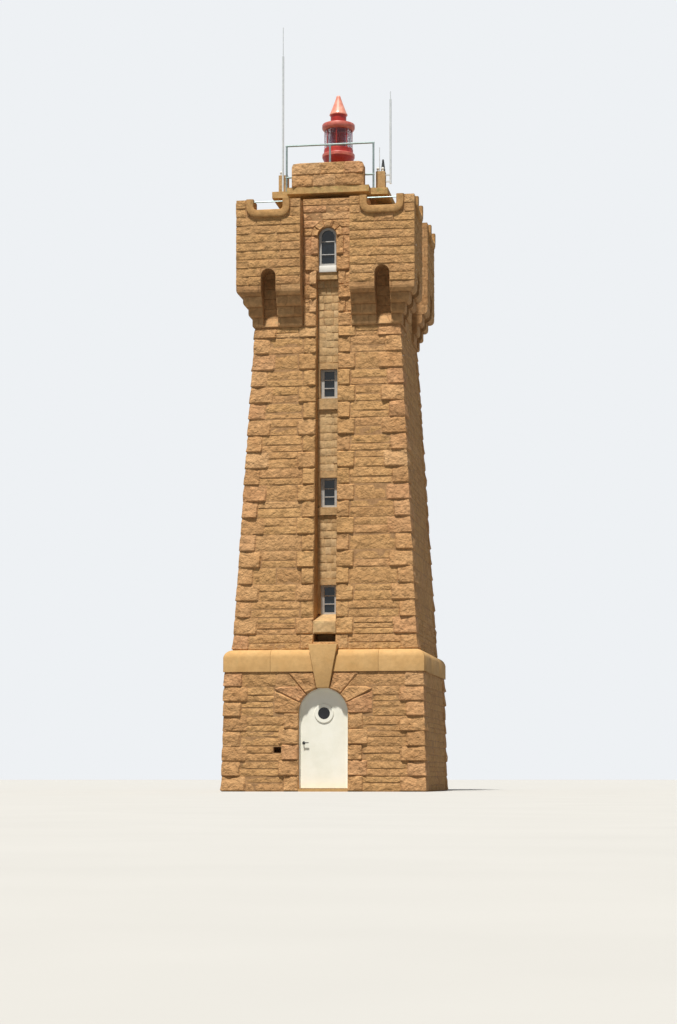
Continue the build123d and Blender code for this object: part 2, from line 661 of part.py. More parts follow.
with BuildPart() as crenel_moulding:
    extrude(crenel_outline(MOULDING_WIDTH), amount=MOULDING_PROUD)
    extrude(crenel_outline(0), amount=MOULDING_PROUD, mode=Mode.SUBTRACT)
    face_edges = crenel_moulding.faces().sort_by(Axis.Y)[0].edges()
    top_edges = face_edges.group_by(Axis.Z)[-1]
    chamfer([edge for edge in face_edges if edge not in top_edges], MOULDING_CHAMFER)

# Crown corner at the front right, symmetric about its diagonal
DIAGONAL = Plane(origin=(0, 0, 0), z_dir=(1, 1, 0))
SIDEWAYS = Plane(origin=(0, 0, 0), x_dir=(0, -1, 0), z_dir=(-1, 0, 0))
with BuildPart() as crown_corner:
    extrude(crown_outline(Plane.XZ), amount=FAR)
    extrude(crown_outline(SIDEWAYS), amount=-FAR, mode=Mode.INTERSECT)
    block((-ROOM_HALF, -ROOM_HALF, 0), (ROOM_HALF, ROOM_HALF, CORNER_TOP), Mode.SUBTRACT)
    block(
        (-PARAPET_INNER_HALF, -PARAPET_INNER_HALF, TERRACE_TOP - TERRACE_THICK),
        (PARAPET_INNER_HALF, PARAPET_INNER_HALF, CORNER_TOP),
        Mode.SUBTRACT,
    )
    for cutter in (slot_cutter, crenel_cutter):
        add(cutter.part, mode=Mode.SUBTRACT)
        add(cutter.part.mirror(DIAGONAL), mode=Mode.SUBTRACT)
    add(crenel_moulding.part)
    add(crenel_moulding.part.mirror(DIAGONAL))

for corner, angle in CORNERS.items():
    with BuildPart() as turned_corner:
        add(crown_corner.part, rotation=(0, 0, angle))
    save(turned_corner.part, f"crown_corner_{corner}")

# Set-back bays between the corner blocks
with BuildPart() as crown_bay:
    block((-CORNER_INNER, -BAY_HALF, SHAFT_HEAD), (CORNER_INNER, -ROOM_HALF, BAY_TOP))
    block(
        (-CORNER_INNER, -PARAPET_INNER_HALF, TERRACE_TOP - TERRACE_THICK),
        (CORNER_INNER, -ROOM_HALF, BAY_TOP),
        Mode.SUBTRACT,
    )

with BuildPart() as crown_bays:
    for angle in QUARTER_TURNS[1:]:
        add(crown_bay.part, rotation=(0, 0, angle))
save(crown_bays.part, "crown_bays")

with BuildPart() as crown_bay_front:
    add(crown_bay.part)
    arched_prism(
        CROWN_WINDOW_HALF, CROWN_OPENING_FOOT, CROWN_WINDOW_SPRING, -FAR, 0, mode=Mode.SUBTRACT
    )
    block((-STRIP_HALF, -FAR, SHAFT_HEAD), (STRIP_HALF, -STRIP_BACK, CROWN_OPENING_FOOT), Mode.SUBTRACT)
save(crown_bay_front.part, "crown_bay_front")

# White frame and sill of the crown window
with BuildPart() as crown_window_frame:
    arched_prism(
        CROWN_WINDOW_HALF, CROWN_WINDOW_FOOT, CROWN_WINDOW_SPRING, CROWN_FRAME_FACE, CROWN_FRAME_BACK
    )
    arched_prism(
        CROWN_WINDOW_HALF - CROWN_FRAME_WIDTH,
        CROWN_WINDOW_FOOT + CROWN_FRAME_WIDTH,
        CROWN_WINDOW_SPRING,
        CROWN_FRAME_FACE,
        CROWN_FRAME_BACK,
        mode=Mode.SUBTRACT,
    )
    block(
        (-CROWN_WINDOW_HALF, -BAY_HALF + CROWN_SILL_RECESS, CROWN_OPENING_FOOT),
        (CROWN_WINDOW_HALF, CROWN_FRAME_BACK, CROWN_WINDOW_FOOT),
    )

# Window frames: square ones in the shaft, the arched one in the crown
with BuildPart() as window_frames:
    for sill, head in zip(sill_tops, WINDOW_HEADS):
        block(
            (-WINDOW_WIDTH / 2, WINDOW_FRAME_FACE, sill),
            (WINDOW_WIDTH / 2, WINDOW_FRAME_BACK, head),
        )
        block(
            (-PANE_HALF, WINDOW_FRAME_FACE, sill + WINDOW_FRAME_HEIGHT),
            (PANE_HALF, WINDOW_FRAME_BACK, head - WINDOW_FRAME_HEIGHT),
            Mode.SUBTRACT,
        )
    add(crown_window_frame.part)
save(window_frames.part, "window_frames")

with BuildPart() as window_glass:
    for sill, head in zip(sill_tops, WINDOW_HEADS):
        block(
            (-PANE_HALF, PANE_FACE, sill + WINDOW_FRAME_HEIGHT),
            (PANE_HALF, PANE_FACE + PANE_THICK, head - WINDOW_FRAME_HEIGHT),
        )
    arched_prism(
        CROWN_WINDOW_HALF - CROWN_FRAME_WIDTH,
        CROWN_WINDOW_FOOT + CROWN_FRAME_WIDTH,
        CROWN_WINDOW_SPRING,
        CROWN_FRAME_FACE + WINDOW_FRAME_DEPTH / 2,
        CROWN_FRAME_FACE + WINDOW_FRAME_DEPTH / 2 + PANE_THICK,
    )
save(window_glass.part, "window_glass")

# A thin metal bar across each crenel
with BuildPart() as crenel_bar_pair:
    for sign in (-1, 1):
        left = sign * CORNER_CENTRE - CRENEL_WIDTH / 2
        end = (left, CRENEL_BAR_DROP - CORNER_HALF, CORNER_TOP - CRENEL_BAR_DROP)
        bar(end, (1, 0, 0), CRENEL_WIDTH, CRENEL_BAR_RADIUS, CRENEL_BAR_SIDES)

with BuildPart() as crenel_bars:
    for angle in QUARTER_TURNS:
        add(crenel_bar_pair.part, rotation=(0, 0, angle))
save(crenel_bars.part, "crenel_bars")

# Platform that carries the lantern, on its own core walls
with BuildPart() as platform_core:
    block(
        (-PLATFORM_CORE_HALF, -PLATFORM_CORE_HALF, TERRACE_TOP),
        (PLATFORM_CORE_HALF, PLATFORM_CORE_HALF, PLATFORM_FOOT),
    )
    inner = PLATFORM_CORE_HALF - PLATFORM_CORE_WALL
    block((-inner, -inner, TERRACE_TOP), (inner, inner, PLATFORM_FOOT), Mode.SUBTRACT)
save(platform_core.part, "platform_core")

with BuildPart() as platform_slab:
    block((-PLATFORM_HALF, -PLATFORM_HALF, PLATFORM_FOOT), (PLATFORM_HALF, PLATFORM_HALF, PLATFORM_TOP))
    block((-TONGUE_HALF, -TONGUE_FRONT, PLATFORM_FOOT), (TONGUE_HALF, 0, PLATFORM_TOP))
save(platform_slab.part, "platform_slab")

with BuildPart() as platform_front_block:
    block(
        (-FRONT_BLOCK_WIDTH / 2, -TONGUE_FRONT, PLATFORM_TOP),
        (FRONT_BLOCK_WIDTH / 2, -TONGUE_FRONT + FRONT_BLOCK_DEPTH, PLATFORM_TOP + FRONT_BLOCK_HEIGHT),
    )
    block_top = platform_front_block.faces().sort_by(Axis.Z)[-1]
    fillet(block_top.edges().filter_by(Axis.Y), FRONT_BLOCK_ROUND)
save(platform_front_block.part, "platform_front_block")

with BuildPart() as antenna_posts:
    with Locations((-POST_X, POST_Y, PLATFORM_TOP), (POST_X, POST_Y, PLATFORM_TOP)):
        Box(POST_WIDTH, POST_WIDTH, POST_HEIGHT, align=(Align.CENTER, Align.CENTER, Align.MIN))
save(antenna_posts.part, "antenna_posts")


# Tube railing: posts on flanges, a top rail and a mid rail
with BuildPart() as platform_railing:
    rail_top = RAILING_HEIGHT - RAIL_RADIUS
    rail_end = RAILING_WIDTH / 2
    for x in (-rail_end, 0, rail_end):
        foot = (x, RAILING_Y, PLATFORM_TOP)
        bar(foot, (0, 0, 1), rail_top, RAIL_RADIUS, RAILING_SIDES)
        bar(foot, (0, 0, 1), RAIL_FLANGE_THICK, RAIL_FLANGE_RADIUS, RAILING_SIDES)
    for height in (RAILING_MID_HEIGHT, rail_top):
        start = (-rail_end - RAIL_RADIUS, RAILING_Y, PLATFORM_TOP + height)
        bar(start, (1, 0, 0), RAILING_WIDTH + 2 * RAIL_RADIUS, RAIL_RADIUS, RAILING_SIDES)
save(platform_railing.part, "platform_railing")


# A course of the lantern between two heights, straight or tapered
def course(foot, head, foot_radius, head_radius=None):
    bar((0, 0, foot), (0, 0, 1), head - foot, foot_radius, LANTERN_SIDES, head_radius)


# Lantern pedestal: flange, column, the flare up to the lower ring and the base of the drum
with BuildPart() as lantern_pedestal:
    course(PLATFORM_TOP, PLATFORM_TOP + PEDESTAL_FLANGE_THICK, PEDESTAL_FLANGE_RADIUS)
    course(PLATFORM_TOP, FLARE_FOOT, PEDESTAL_RADIUS)
    course(FLARE_FOOT, LANTERN_RING_FOOT, PEDESTAL_RADIUS, LANTERN_RING_RADIUS)
    course(LANTERN_RING_FOOT, LANTERN_RING_TOP, LANTERN_RING_RADIUS)
    course(LANTERN_RING_TOP, DRUM_FOOT, DRUM_BASE_RADIUS)
save(lantern_pedestal.part, "lantern_pedestal")

# Glazed drum: a ring of glass held by upright bars
with BuildPart() as lantern_glass:
    with BuildSketch(Plane.XY.offset(DRUM_FOOT)):
        RegularPolygon(DRUM_RADIUS, LANTERN_SIDES)
        RegularPolygon(DRUM_RADIUS - DRUM_PANE_THICK, LANTERN_SIDES, mode=Mode.SUBTRACT)
    extrude(amount=DRUM_HEIGHT)
save(lantern_glass.part, "lantern_glass")

with BuildPart() as lantern_bars:
    with BuildSketch(Plane.XY.offset(DRUM_FOOT)):
        with PolarLocations(DRUM_RADIUS + HINGE_PLAY + ASTRAGAL_THICK / 2, ASTRAGAL_COUNT):
            Rectangle(ASTRAGAL_THICK, ASTRAGAL_WIDTH)
    extrude(amount=DRUM_HEIGHT)
save(lantern_bars.part, "lantern_bars")

with BuildPart() as lantern_lamp:
    course(DRUM_FOOT, DRUM_FOOT + LAMP_HEIGHT, LAMP_RADIUS)
save(lantern_lamp.part, "lantern_lamp")

# Cornice, neck and conical roof with its ball
with BuildPart() as lantern_cornice:
    lip_radius = DRUM_RADIUS + ASTRAGAL_THICK + ASTRAGAL_WIDTH
    course(DRUM_TOP, DRUM_TOP + CORNICE_FLARE, lip_radius, CORNICE_RADIUS)
    course(DRUM_TOP + CORNICE_FLARE, CORNICE_TOP - CORNICE_FLARE, CORNICE_RADIUS)
    course(CORNICE_TOP - CORNICE_FLARE, CORNICE_TOP, CORNICE_RADIUS, NECK_RADIUS)
    course(CORNICE_TOP, NECK_TOP, NECK_RADIUS)
save(lantern_cornice.part, "lantern_cornice")

with BuildPart() as lantern_roof:
    course(NECK_TOP, NECK_TOP + ROOF_EDGE, ROOF_RADIUS)
    course(NECK_TOP + ROOF_EDGE, ROOF_TOP, ROOF_RADIUS, FINIAL_RADIUS / 2)
    ball_low = ROOF_TOP + FINIAL_RADIUS / 2
    course(ROOF_TOP, ball_low, FINIAL_RADIUS / 2, FINIAL_RADIUS)
    course(ball_low, ball_low + FINIAL_RADIUS, FINIAL_RADIUS, FINIAL_RADIUS / 2)
save(lantern_roof.part, "lantern_roof")

# Whips at the posts: a stepped one on the left, one on brackets on the right and a short one
with BuildPart() as antenna_whips:
    left_foot = (-POST_X, POST_FACE - WHIP_RADIUS, PLATFORM_TOP)
    bar(left_foot, (0, 0, 1), LEFT_WHIP_HEIGHT, WHIP_RADIUS, WHIP_SIDES)
    bar(left_foot, (0, 0, 1), LEFT_WHIP_HEIGHT + LEFT_WHIP_TIP, WHIP_THIN_RADIUS, WHIP_SIDES)
    right_foot = (POST_SIDE + BRACKET_REACH + WHIP_RADIUS, POST_Y, PLATFORM_TOP + RIGHT_WHIP_RISE)
    bar(right_foot, (0, 0, 1), RIGHT_WHIP_HEIGHT, WHIP_RADIUS, WHIP_SIDES)
    bar(right_foot, (0, 0, 1), RIGHT_WHIP_HEIGHT + RIGHT_WHIP_TIP, WHIP_THIN_RADIUS, WHIP_SIDES)
    for height in BRACKET_HEIGHTS:
        with Locations((POST_SIDE, POST_Y, PLATFORM_TOP + height)):
            Box(
                BRACKET_REACH + WHIP_RADIUS,
                BRACKET_WIDTH,
                BRACKET_WIDTH,
                align=(Align.MIN, Align.CENTER, Align.CENTER),
            )
    short_foot = (POST_X - SHORT_WHIP_INSET, POST_Y, POST_TOP)
    bar(short_foot, (0, 0, 1), SHORT_WHIP_HEIGHT, WHIP_THIN_RADIUS, WHIP_SIDES)
save(antenna_whips.part, "antenna_whips")

# Small tapered instrument on the right post
with BuildPart() as weather_instrument:
    bar(
        (POST_X + INSTRUMENT_BESIDE, POST_Y, POST_TOP),
        (0, 0, 1),
        INSTRUMENT_HEIGHT,
        INSTRUMENT_FOOT_RADIUS,
        INSTRUMENT_SIDES,
        INSTRUMENT_HEAD_RADIUS,
    )
save(weather_instrument.part, "weather_instrument")
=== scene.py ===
from itertools import pairwise
from math import atan2, cos, hypot, pi, radians, sin, tan
from random import Random

import bmesh
import bpy
from mathutils import Matrix, Vector, noise


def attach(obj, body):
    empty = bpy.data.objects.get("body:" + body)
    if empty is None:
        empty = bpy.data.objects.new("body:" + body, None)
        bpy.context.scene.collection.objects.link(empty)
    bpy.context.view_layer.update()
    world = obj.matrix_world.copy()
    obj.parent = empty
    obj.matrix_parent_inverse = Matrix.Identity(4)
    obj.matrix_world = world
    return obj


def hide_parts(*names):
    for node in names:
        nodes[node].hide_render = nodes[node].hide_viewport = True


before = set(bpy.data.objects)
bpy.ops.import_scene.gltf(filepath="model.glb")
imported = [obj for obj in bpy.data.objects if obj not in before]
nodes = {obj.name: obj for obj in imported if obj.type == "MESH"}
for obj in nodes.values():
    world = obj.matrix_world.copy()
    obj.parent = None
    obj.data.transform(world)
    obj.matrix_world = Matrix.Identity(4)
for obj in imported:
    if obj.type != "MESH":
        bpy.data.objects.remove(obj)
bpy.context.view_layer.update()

rng = Random(1860)

# The tower's own sizes in metres, the same as the walls behind the stones
tower = {
    "baseFootHalf": 2.067, "baseHeadHalf": 2.017, "baseTop": 2.411,
    "shaftFoot": 2.858, "shaftFootHalf": 1.881, "shaftTop": 9.540, "shaftHeadHalf": 1.504,
    "corbelTop": 10.368, "cornerHalf": 1.845, "cornerInner": 0.511, "cornerTop": 12.152,
    "bayTop": 12.216, "stripHalf": 0.232, "stripFoot": 3.017, "stripBack": 1.304,
}


# Colours and nodes
def hexColor(code):
    parts = [int(code[i:i + 2], 16) / 255 for i in (1, 3, 5)]
    return tuple(c / 12.92 if c < 0.04045 else ((c + 0.055) / 1.055) ** 2.4 for c in parts) + (1.0,)


def addNode(tree, kind, values=None, links=None, stops=None, **settings):
    node = tree.nodes.new(kind)
    for name, value in settings.items():
        setattr(node, name, value)
    for socket, value in (values or {}).items():
        node.inputs[socket].default_value = value
    for socket, source in (links or {}).items():
        tree.links.new(source, node.inputs[socket])
    for i, (place, color) in enumerate(stops or ()):
        stop = node.color_ramp.elements[i] if i < 2 else node.color_ramp.elements.new(place)
        stop.position, stop.color = place, hexColor(color) if isinstance(color, str) else (color,) * 3 + (1,)
    return node


def startMaterial(name):  # the last thing it gives back is the place in the object's own metres
    material = bpy.data.materials.new(name)
    material.use_nodes = True
    tree = material.node_tree
    tree.nodes.clear()
    return material, tree, addNode(tree, "ShaderNodeTexCoord").outputs["Object"]


def finishMaterial(tree, shader, bump=None):
    if bump:
        tree.links.new(bump.outputs["Normal"], shader.inputs["Normal"])
    addNode(tree, "ShaderNodeOutputMaterial", links={"Surface": shader.outputs[0]})


# The granite's noises: how wide each is in metres, its detail and its roughness. Weathering drifts over
# whole stones and mottles them, lichen grows in patches, and a split face has hollows with pits in them.
patterns = {"weather": (0.3, 5.0, 0.62), "mottle": (0.09, 5.0, 0.62), "lichen": (0.13, 8.0, 0.7),
            "hollow": (0.1, 3.0, 0.55), "pit": (0.025, 4.0, 0.65)}
grainWide = 0.012  # the real grains are about 5 mm: these are drawn coarser, so that they show


# Granite, split or dressed: a warm feldspar ground with darker grains, each stone its own tone.
# It gives the eye a dry, sandy surface that never shines.
def graniteMaterial(name, look):
    material, tree, spot = startMaterial(name)
    tone = addNode(tree, "ShaderNodeAttribute", attribute_name="stoneTone").outputs["Fac"]
    facing = addNode(tree, "ShaderNodeSeparateXYZ",
                     links={"Vector": addNode(tree, "ShaderNodeNewGeometry").outputs["Normal"]})
    if "courses" in look:  # a CAD wall has no tone of its own, so blocks of the real size give it one
        width, height, start = look["courses"]
        axes = addNode(tree, "ShaderNodeSeparateXYZ", links={"Vector": spot})
        along = addNode(tree, "ShaderNodeMath", links={0: axes.outputs["X"], 1: axes.outputs["Y"]})
        upright = addNode(tree, "ShaderNodeMath", {1: 0.7}, {0: facing.outputs["Z"]}, operation="LESS_THAN")
        along = addNode(tree, "ShaderNodeMath", operation="MULTIPLY",
                        links={0: along.outputs[0], 1: upright.outputs[0]})
        rise = addNode(tree, "ShaderNodeMath", {1: -start}, {0: axes.outputs["Z"]})
        unrolled = addNode(tree, "ShaderNodeCombineXYZ", links={"X": along.outputs[0], "Y": rise.outputs[0]})
        blocks = addNode(
            tree, "ShaderNodeTexBrick",
            {"Color1": (0, 0, 0, 1), "Color2": (1, 1, 1, 1), "Mortar": (0, 0, 0, 1), "Scale": 1.0,
             "Mortar Size": look["joint"], "Mortar Smooth": 0.3, "Brick Width": width, "Row Height": height},
            {"Vector": unrolled.outputs["Vector"]},
        )
        tone = addNode(tree, "ShaderNodeRGBToBW", links={"Color": blocks.outputs["Color"]}).outputs[0]
    base = addNode(tree, "ShaderNodeValToRGB", links={"Fac": tone}, stops=look["tones"])
    noises = {}
    for part, (wide, detail, rough) in patterns.items():
        noises[part] = addNode(tree, "ShaderNodeTexNoise",
                               {"Scale": 1 / wide, "Detail": detail, "Roughness": rough},
                               {"Vector": spot}).outputs["Fac"]
    cloudRamp = addNode(tree, "ShaderNodeValToRGB", links={"Fac": noises["weather"]},
                        stops=[(0.32, look["dark"]), (0.68, look["light"])])
    color = addNode(tree, "ShaderNodeMix", {"Factor": 0.42}, data_type="RGBA",
                    links={"A": base.outputs["Color"], "B": cloudRamp.outputs["Color"]})
    grain = addNode(tree, "ShaderNodeTexVoronoi", {"Scale": 1 / grainWide}, {"Vector": spot})
    noises["grain"] = grain.outputs["Distance"]
    for part, stops in (("mottle", [(0.38, 0.68), (0.58, 1.0)]), ("grain", [(0.12, 0.62), (0.42, 1.0)])):
        ramp = addNode(tree, "ShaderNodeValToRGB", links={"Fac": noises[part]}, stops=stops)
        color = addNode(tree, "ShaderNodeMix", {"Factor": look[part]},
                        {"A": color.outputs["Result"], "B": ramp.outputs["Color"]},
                        data_type="RGBA", blend_type="MULTIPLY")
    # lichen is grey-green and likes what faces the sky
    spread = addNode(tree, "ShaderNodeMath", {1: look["lichenSky"]},
                     {0: facing.outputs["Z"], 2: noises["lichen"]}, operation="MULTIPLY_ADD")
    lichen = addNode(tree, "ShaderNodeValToRGB", links={"Fac": spread.outputs[0]},
                     stops=[(look["lichenFrom"], 0.0), (look["lichenFrom"] + 0.12, look["lichen"])])
    color = addNode(tree, "ShaderNodeMix", {"B": hexColor(look["lichenColor"])}, data_type="RGBA",
                    links={"Factor": lichen.outputs["Color"], "A": color.outputs["Result"]})
    deep = addNode(tree, "ShaderNodeMath", {1: look["hollow"]}, {0: noises["hollow"]}, operation="MULTIPLY")
    height = addNode(tree, "ShaderNodeMath", {1: look["pit"]}, {0: noises["pit"], 2: deep.outputs[0]},
                     operation="MULTIPLY_ADD")
    if "courses" in look:
        height = addNode(tree, "ShaderNodeMath", {1: -look["groove"]},
                         {0: blocks.outputs["Fac"], 2: height.outputs[0]}, operation="MULTIPLY_ADD")
    bump = addNode(tree, "ShaderNodeBump", {"Strength": 1.0, "Distance": 1.0}, {"Height": height.outputs[0]})
    shader = addNode(tree, "ShaderNodeBsdfPrincipled",
                     {"Roughness": look["roughness"], "IOR": 1.5, "Specular IOR Level": 0.25},
                     {"Base Color": color.outputs["Result"]})
    finishMaterial(tree, shader, bump)
    return material


# hollow and pit are the depths of the surface's relief in metres; most looks share the usual values
usualStone = {"lichen": 0.3, "lichenSky": 0.1, "lichenFrom": 0.6, "pit": 0.004, "roughness": 0.9,
              "mottle": 0.8, "grain": 0.35}
granites = {
    # quoins, jambs and arch stones, split by hand: the deepest hollows and the liveliest shade
    "splitGranite": {
        "tones": [(0.0, "#b5895b"), (0.25, "#c69765"), (0.5, "#d0a26f"), (0.75, "#c8936a"), (1.0, "#dbb07f")],
        "dark": "#b08154", "light": "#dbae7c", "lichenColor": "#a3946a", "lichenSky": 0.08,
        "hollow": 0.052, "pit": 0.006, "roughness": 0.92,
    },
    # the thin courses between them, a little more even
    "rubbleGranite": {
        "tones": [(0.0, "#b68a5b"), (0.3, "#c39764"), (0.5, "#cb9f68"), (0.75, "#c49566"), (1.0, "#d5aa77")],
        "dark": "#b28657", "light": "#d5a976", "lichenColor": "#a39a6c", "lichenSky": 0.08,
        "hollow": 0.048, "pit": 0.006, "roughness": 0.92,
    },
    # string course and keystone, dressed flat: smooth and calm beside the split stones
    "dressedGranite": {
        "tones": [(0.0, "#c39a64"), (0.5, "#cba36b"), (1.0, "#d1aa74")],
        "dark": "#bf935c", "light": "#d5ae79", "lichenColor": "#a69a68", "lichenFrom": 0.62,
        "hollow": 0.004, "pit": 0.002, "roughness": 0.88, "grain": 0.3, "mottle": 0.3,
    },
    # the strip's small stones, surrounds and sills: pale and softly pitted
    "paleGranite": {
        "tones": [(0.0, "#c6a070"), (0.5, "#d2b080"), (1.0, "#dfc196")],
        "dark": "#bc9563", "light": "#dcbe90", "lichenColor": "#a9a071", "lichen": 0.35,
        "lichenFrom": 0.58, "hollow": 0.012,
    },
    # corbels and crown corners: hand-dressed blocks with their joints drawn in
    "corbelGranite": {
        "tones": [(0.0, "#b38759"), (0.5, "#c39768"), (1.0, "#d0a675")],
        "dark": "#ab7f54", "light": "#d0a575", "lichenColor": "#99906a", "lichen": 0.5, "lichenSky": 0.14,
        "lichenFrom": 0.58, "hollow": 0.016, "pit": 0.005,
        "courses": (0.46, 0.207, 0.018), "joint": 0.006, "groove": 0.012,
    },
    # lime mortar with the local sand: dull, and a shade darker than the stones
    "limeMortar": {
        "tones": [(0.0, "#b08860"), (0.5, "#b48c62"), (1.0, "#b89066")],
        "dark": "#a27c55", "light": "#bf986c", "lichenColor": "#8f8460", "hollow": 0.01,
        "roughness": 0.95,
    },
    # the strip's flush pointing, as pale as its stones
    "paleMortar": {
        "tones": [(0.0, "#d2b184"), (0.5, "#d6b588"), (1.0, "#dab98c")],
        "dark": "#c09a69", "light": "#e0c398", "lichenColor": "#a39670", "hollow": 0.008,
        "roughness": 0.95,
    },
    # the rounded mouldings of the crenels, rubbed smooth and then weathered
    "carvedGranite": {
        "tones": [(0.0, "#c2965f"), (0.5, "#c79c66"), (1.0, "#cda36d")],
        "dark": "#b28555", "light": "#d6ab77", "lichenColor": "#a39a6c", "hollow": 0.012,
    },
    # floors and the platform's slab, sawn: flat, with the most lichen
    "slabGranite": {
        "tones": [(0.0, "#c9a36b"), (0.5, "#d2ae77"), (1.0, "#dab883")],
        "dark": "#ba955f", "light": "#dcba87", "lichenColor": "#97965c", "lichen": 0.6, "lichenSky": 0.02,
        "lichenFrom": 0.54, "hollow": 0.014, "pit": 0.005, "roughness": 0.92,
    },
}
graniteOf = {name: graniteMaterial(name, {**usualStone, **look}) for name, look in granites.items()}
print("granites ready")


# Paint, iron, steel and glass-fibre: a coat with faint wear, dust or brush marks
def coatMaterial(name, look):
    material, tree, spot = startMaterial(name)
    wear = addNode(tree, "ShaderNodeTexNoise",
                   {"Scale": 1 / look["patch"], "Detail": 6.0, "Roughness": 0.65}, {"Vector": spot})
    color = addNode(tree, "ShaderNodeValToRGB", links={"Fac": wear.outputs["Fac"]},
                    stops=zip((0.3, 0.55, 0.78), look["tones"]))
    dull = addNode(tree, "ShaderNodeMapRange",
                   {"From Min": 0.3, "From Max": 0.7, "To Min": look["gloss"][0], "To Max": look["gloss"][1]},
                   {"Value": wear.outputs["Fac"]})
    skin = addNode(tree, "ShaderNodeTexNoise", {"Scale": 1 / look["skin"], "Detail": 4.0}, {"Vector": spot})
    bump = addNode(tree, "ShaderNodeBump", {"Strength": look["bump"], "Distance": 0.002},
                   {"Height": skin.outputs["Fac"]})
    shader = addNode(tree, "ShaderNodeBsdfPrincipled",
                     {"Metallic": look["metal"], "Coat Weight": look["coat"]},
                     {"Base Color": color.outputs["Color"], "Roughness": dull.outputs["Result"]})
    finishMaterial(tree, shader, bump)
    return material


# patch and skin are the sizes of the wear and of the surface's waves in metres
usualCoat = {"patch": 0.12, "skin": 0.006, "gloss": (0.35, 0.55), "bump": 0.12, "metal": 0.0, "coat": 0.0}
coats = {
    # gloss paint on boards: a clean white with a soft shine
    "whiteDoorPaint": {"tones": ("#efeee0", "#f6f5e9", "#f9f8ee"), "patch": 0.35, "skin": 0.02,
                       "gloss": (0.32, 0.5)},
    # the same paint on the windows, greyed partly by salt and partly as painted shade of their reveals
    "greyWindowPaint": {"tones": ("#a19f9c", "#b5b3ae", "#c5c3bd"), "skin": 0.01, "gloss": (0.4, 0.6),
                        "bump": 0.15},
    # the same white paint without that grey, on the sill board and the posts' knobs
    "whiteSillPaint": {"tones": ("#e0ddd4", "#ebe9e2", "#f2f0ea"), "patch": 0.1, "skin": 0.01,
                       "gloss": (0.4, 0.6), "bump": 0.15},
    # red enamel on sheet metal; the paler coats are partly paint faded by sun and salt and partly painted
    # highlight, and the deeper red on the neck is painted shade under the roof's overhang
    "redEnamel": {"tones": ("#8f1a12", "#b4261a", "#c8452f"), "patch": 0.16, "bump": 0.1, "coat": 0.05},
    "fadedAndLitEnamel": {"tones": ("#b14a3f", "#c9695a", "#dc9583"), "coat": 0.1},
    "fadedAndHighlitEnamel": {"tones": ("#d07a66", "#e2967f", "#efbba8"), "coat": 0.1},
    # hot-dip zinc gone dull, a pale grey with soft spangles
    "galvanisedSteel": {"tones": ("#74817f", "#8d9b99", "#a5b2b0"), "patch": 0.03, "skin": 0.004,
                        "bump": 0.2, "metal": 0.7},
    # moulded glass-fibre tube, an even off-white
    "glassFibre": {"tones": ("#c9d0d4", "#dae0e3", "#e6eaeb"), "patch": 0.08, "skin": 0.004,
                   "gloss": (0.3, 0.45), "bump": 0.08},
    # wrought iron under black paint, a little rough
    "blackIron": {"tones": ("#17181a", "#232527", "#35322f"), "patch": 0.05, "skin": 0.004,
                  "gloss": (0.35, 0.6), "bump": 0.3},
    # moulded acrylic, glossy and bright red in the sun
    "redLens": {"tones": ("#b03a20", "#dc5c38", "#ee8455"), "patch": 0.1, "skin": 0.02,
                "gloss": (0.12, 0.2), "bump": 0.1},
}
coatOf = {name: coatMaterial(name, {**usualCoat, **look}) for name, look in coats.items()}


# Sheet glass, glossy with faint waves: the window and porthole panes are opaque and near-black, painted shade
# of the dark rooms behind them; the lantern's glass is clear round the lamp
def glassMaterial(name, look):
    material, tree, spot = startMaterial(name)
    wave = addNode(tree, "ShaderNodeTexNoise", {"Scale": 1 / look["wave"], "Detail": 2.0}, {"Vector": spot})
    tintAndShade = addNode(tree, "ShaderNodeValToRGB", links={"Fac": wave.outputs["Fac"]},
                   stops=[(0.35, look["deep"]), (0.7, look["pale"])])
    bump = addNode(tree, "ShaderNodeBump", {"Strength": 0.15, "Distance": 0.002},
                   {"Height": wave.outputs["Fac"]})
    shader = addNode(tree, "ShaderNodeBsdfPrincipled",
                     {"Roughness": 0.06, "IOR": 1.5, "Transmission Weight": look["clear"],
                      "Alpha": look["alpha"]}, {"Base Color": tintAndShade.outputs["Color"]})
    finishMaterial(tree, shader, bump)
    return material


glasses = {
    # the window and porthole panes: near-black painted shade of the rooms behind them, not seen through
    "windowGlass": {"wave": 0.2, "deep": "#10161c", "pale": "#1d2830", "clear": 0.0, "alpha": 1.0},
    "portholeGlass": {"wave": 0.1, "deep": "#0d0d10", "pale": "#1a1a1e", "clear": 0.0, "alpha": 1.0},
    "lanternGlass": {"wave": 0.15, "deep": "#5c3c58", "pale": "#7c5872", "clear": 0.9, "alpha": 0.42},
}
glassOf = {name: glassMaterial(name, look) for name, look in glasses.items()}
print("coats and glass ready")


# Making pieces
def addObject(name, data):
    made = bpy.data.objects.new(name, data)
    bpy.context.scene.collection.objects.link(made)
    return made


def meshOf(bm, name):
    mesh = bpy.data.meshes.new(name)
    bm.to_mesh(mesh)
    bm.free()
    return mesh


def finishPiece(bm, name, material, replaces=(), smooth=40):
    bmesh.ops.recalc_face_normals(bm, faces=bm.faces[:])
    mesh = meshOf(bm, name)
    mesh.polygons.foreach_set("use_smooth", [True] * len(mesh.polygons))
    mesh.set_sharp_from_angle(angle=radians(smooth))
    mesh.materials.append(material)
    piece = addObject(name, mesh)
    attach(piece, "tower")
    if replaces:
        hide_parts(*replaces)


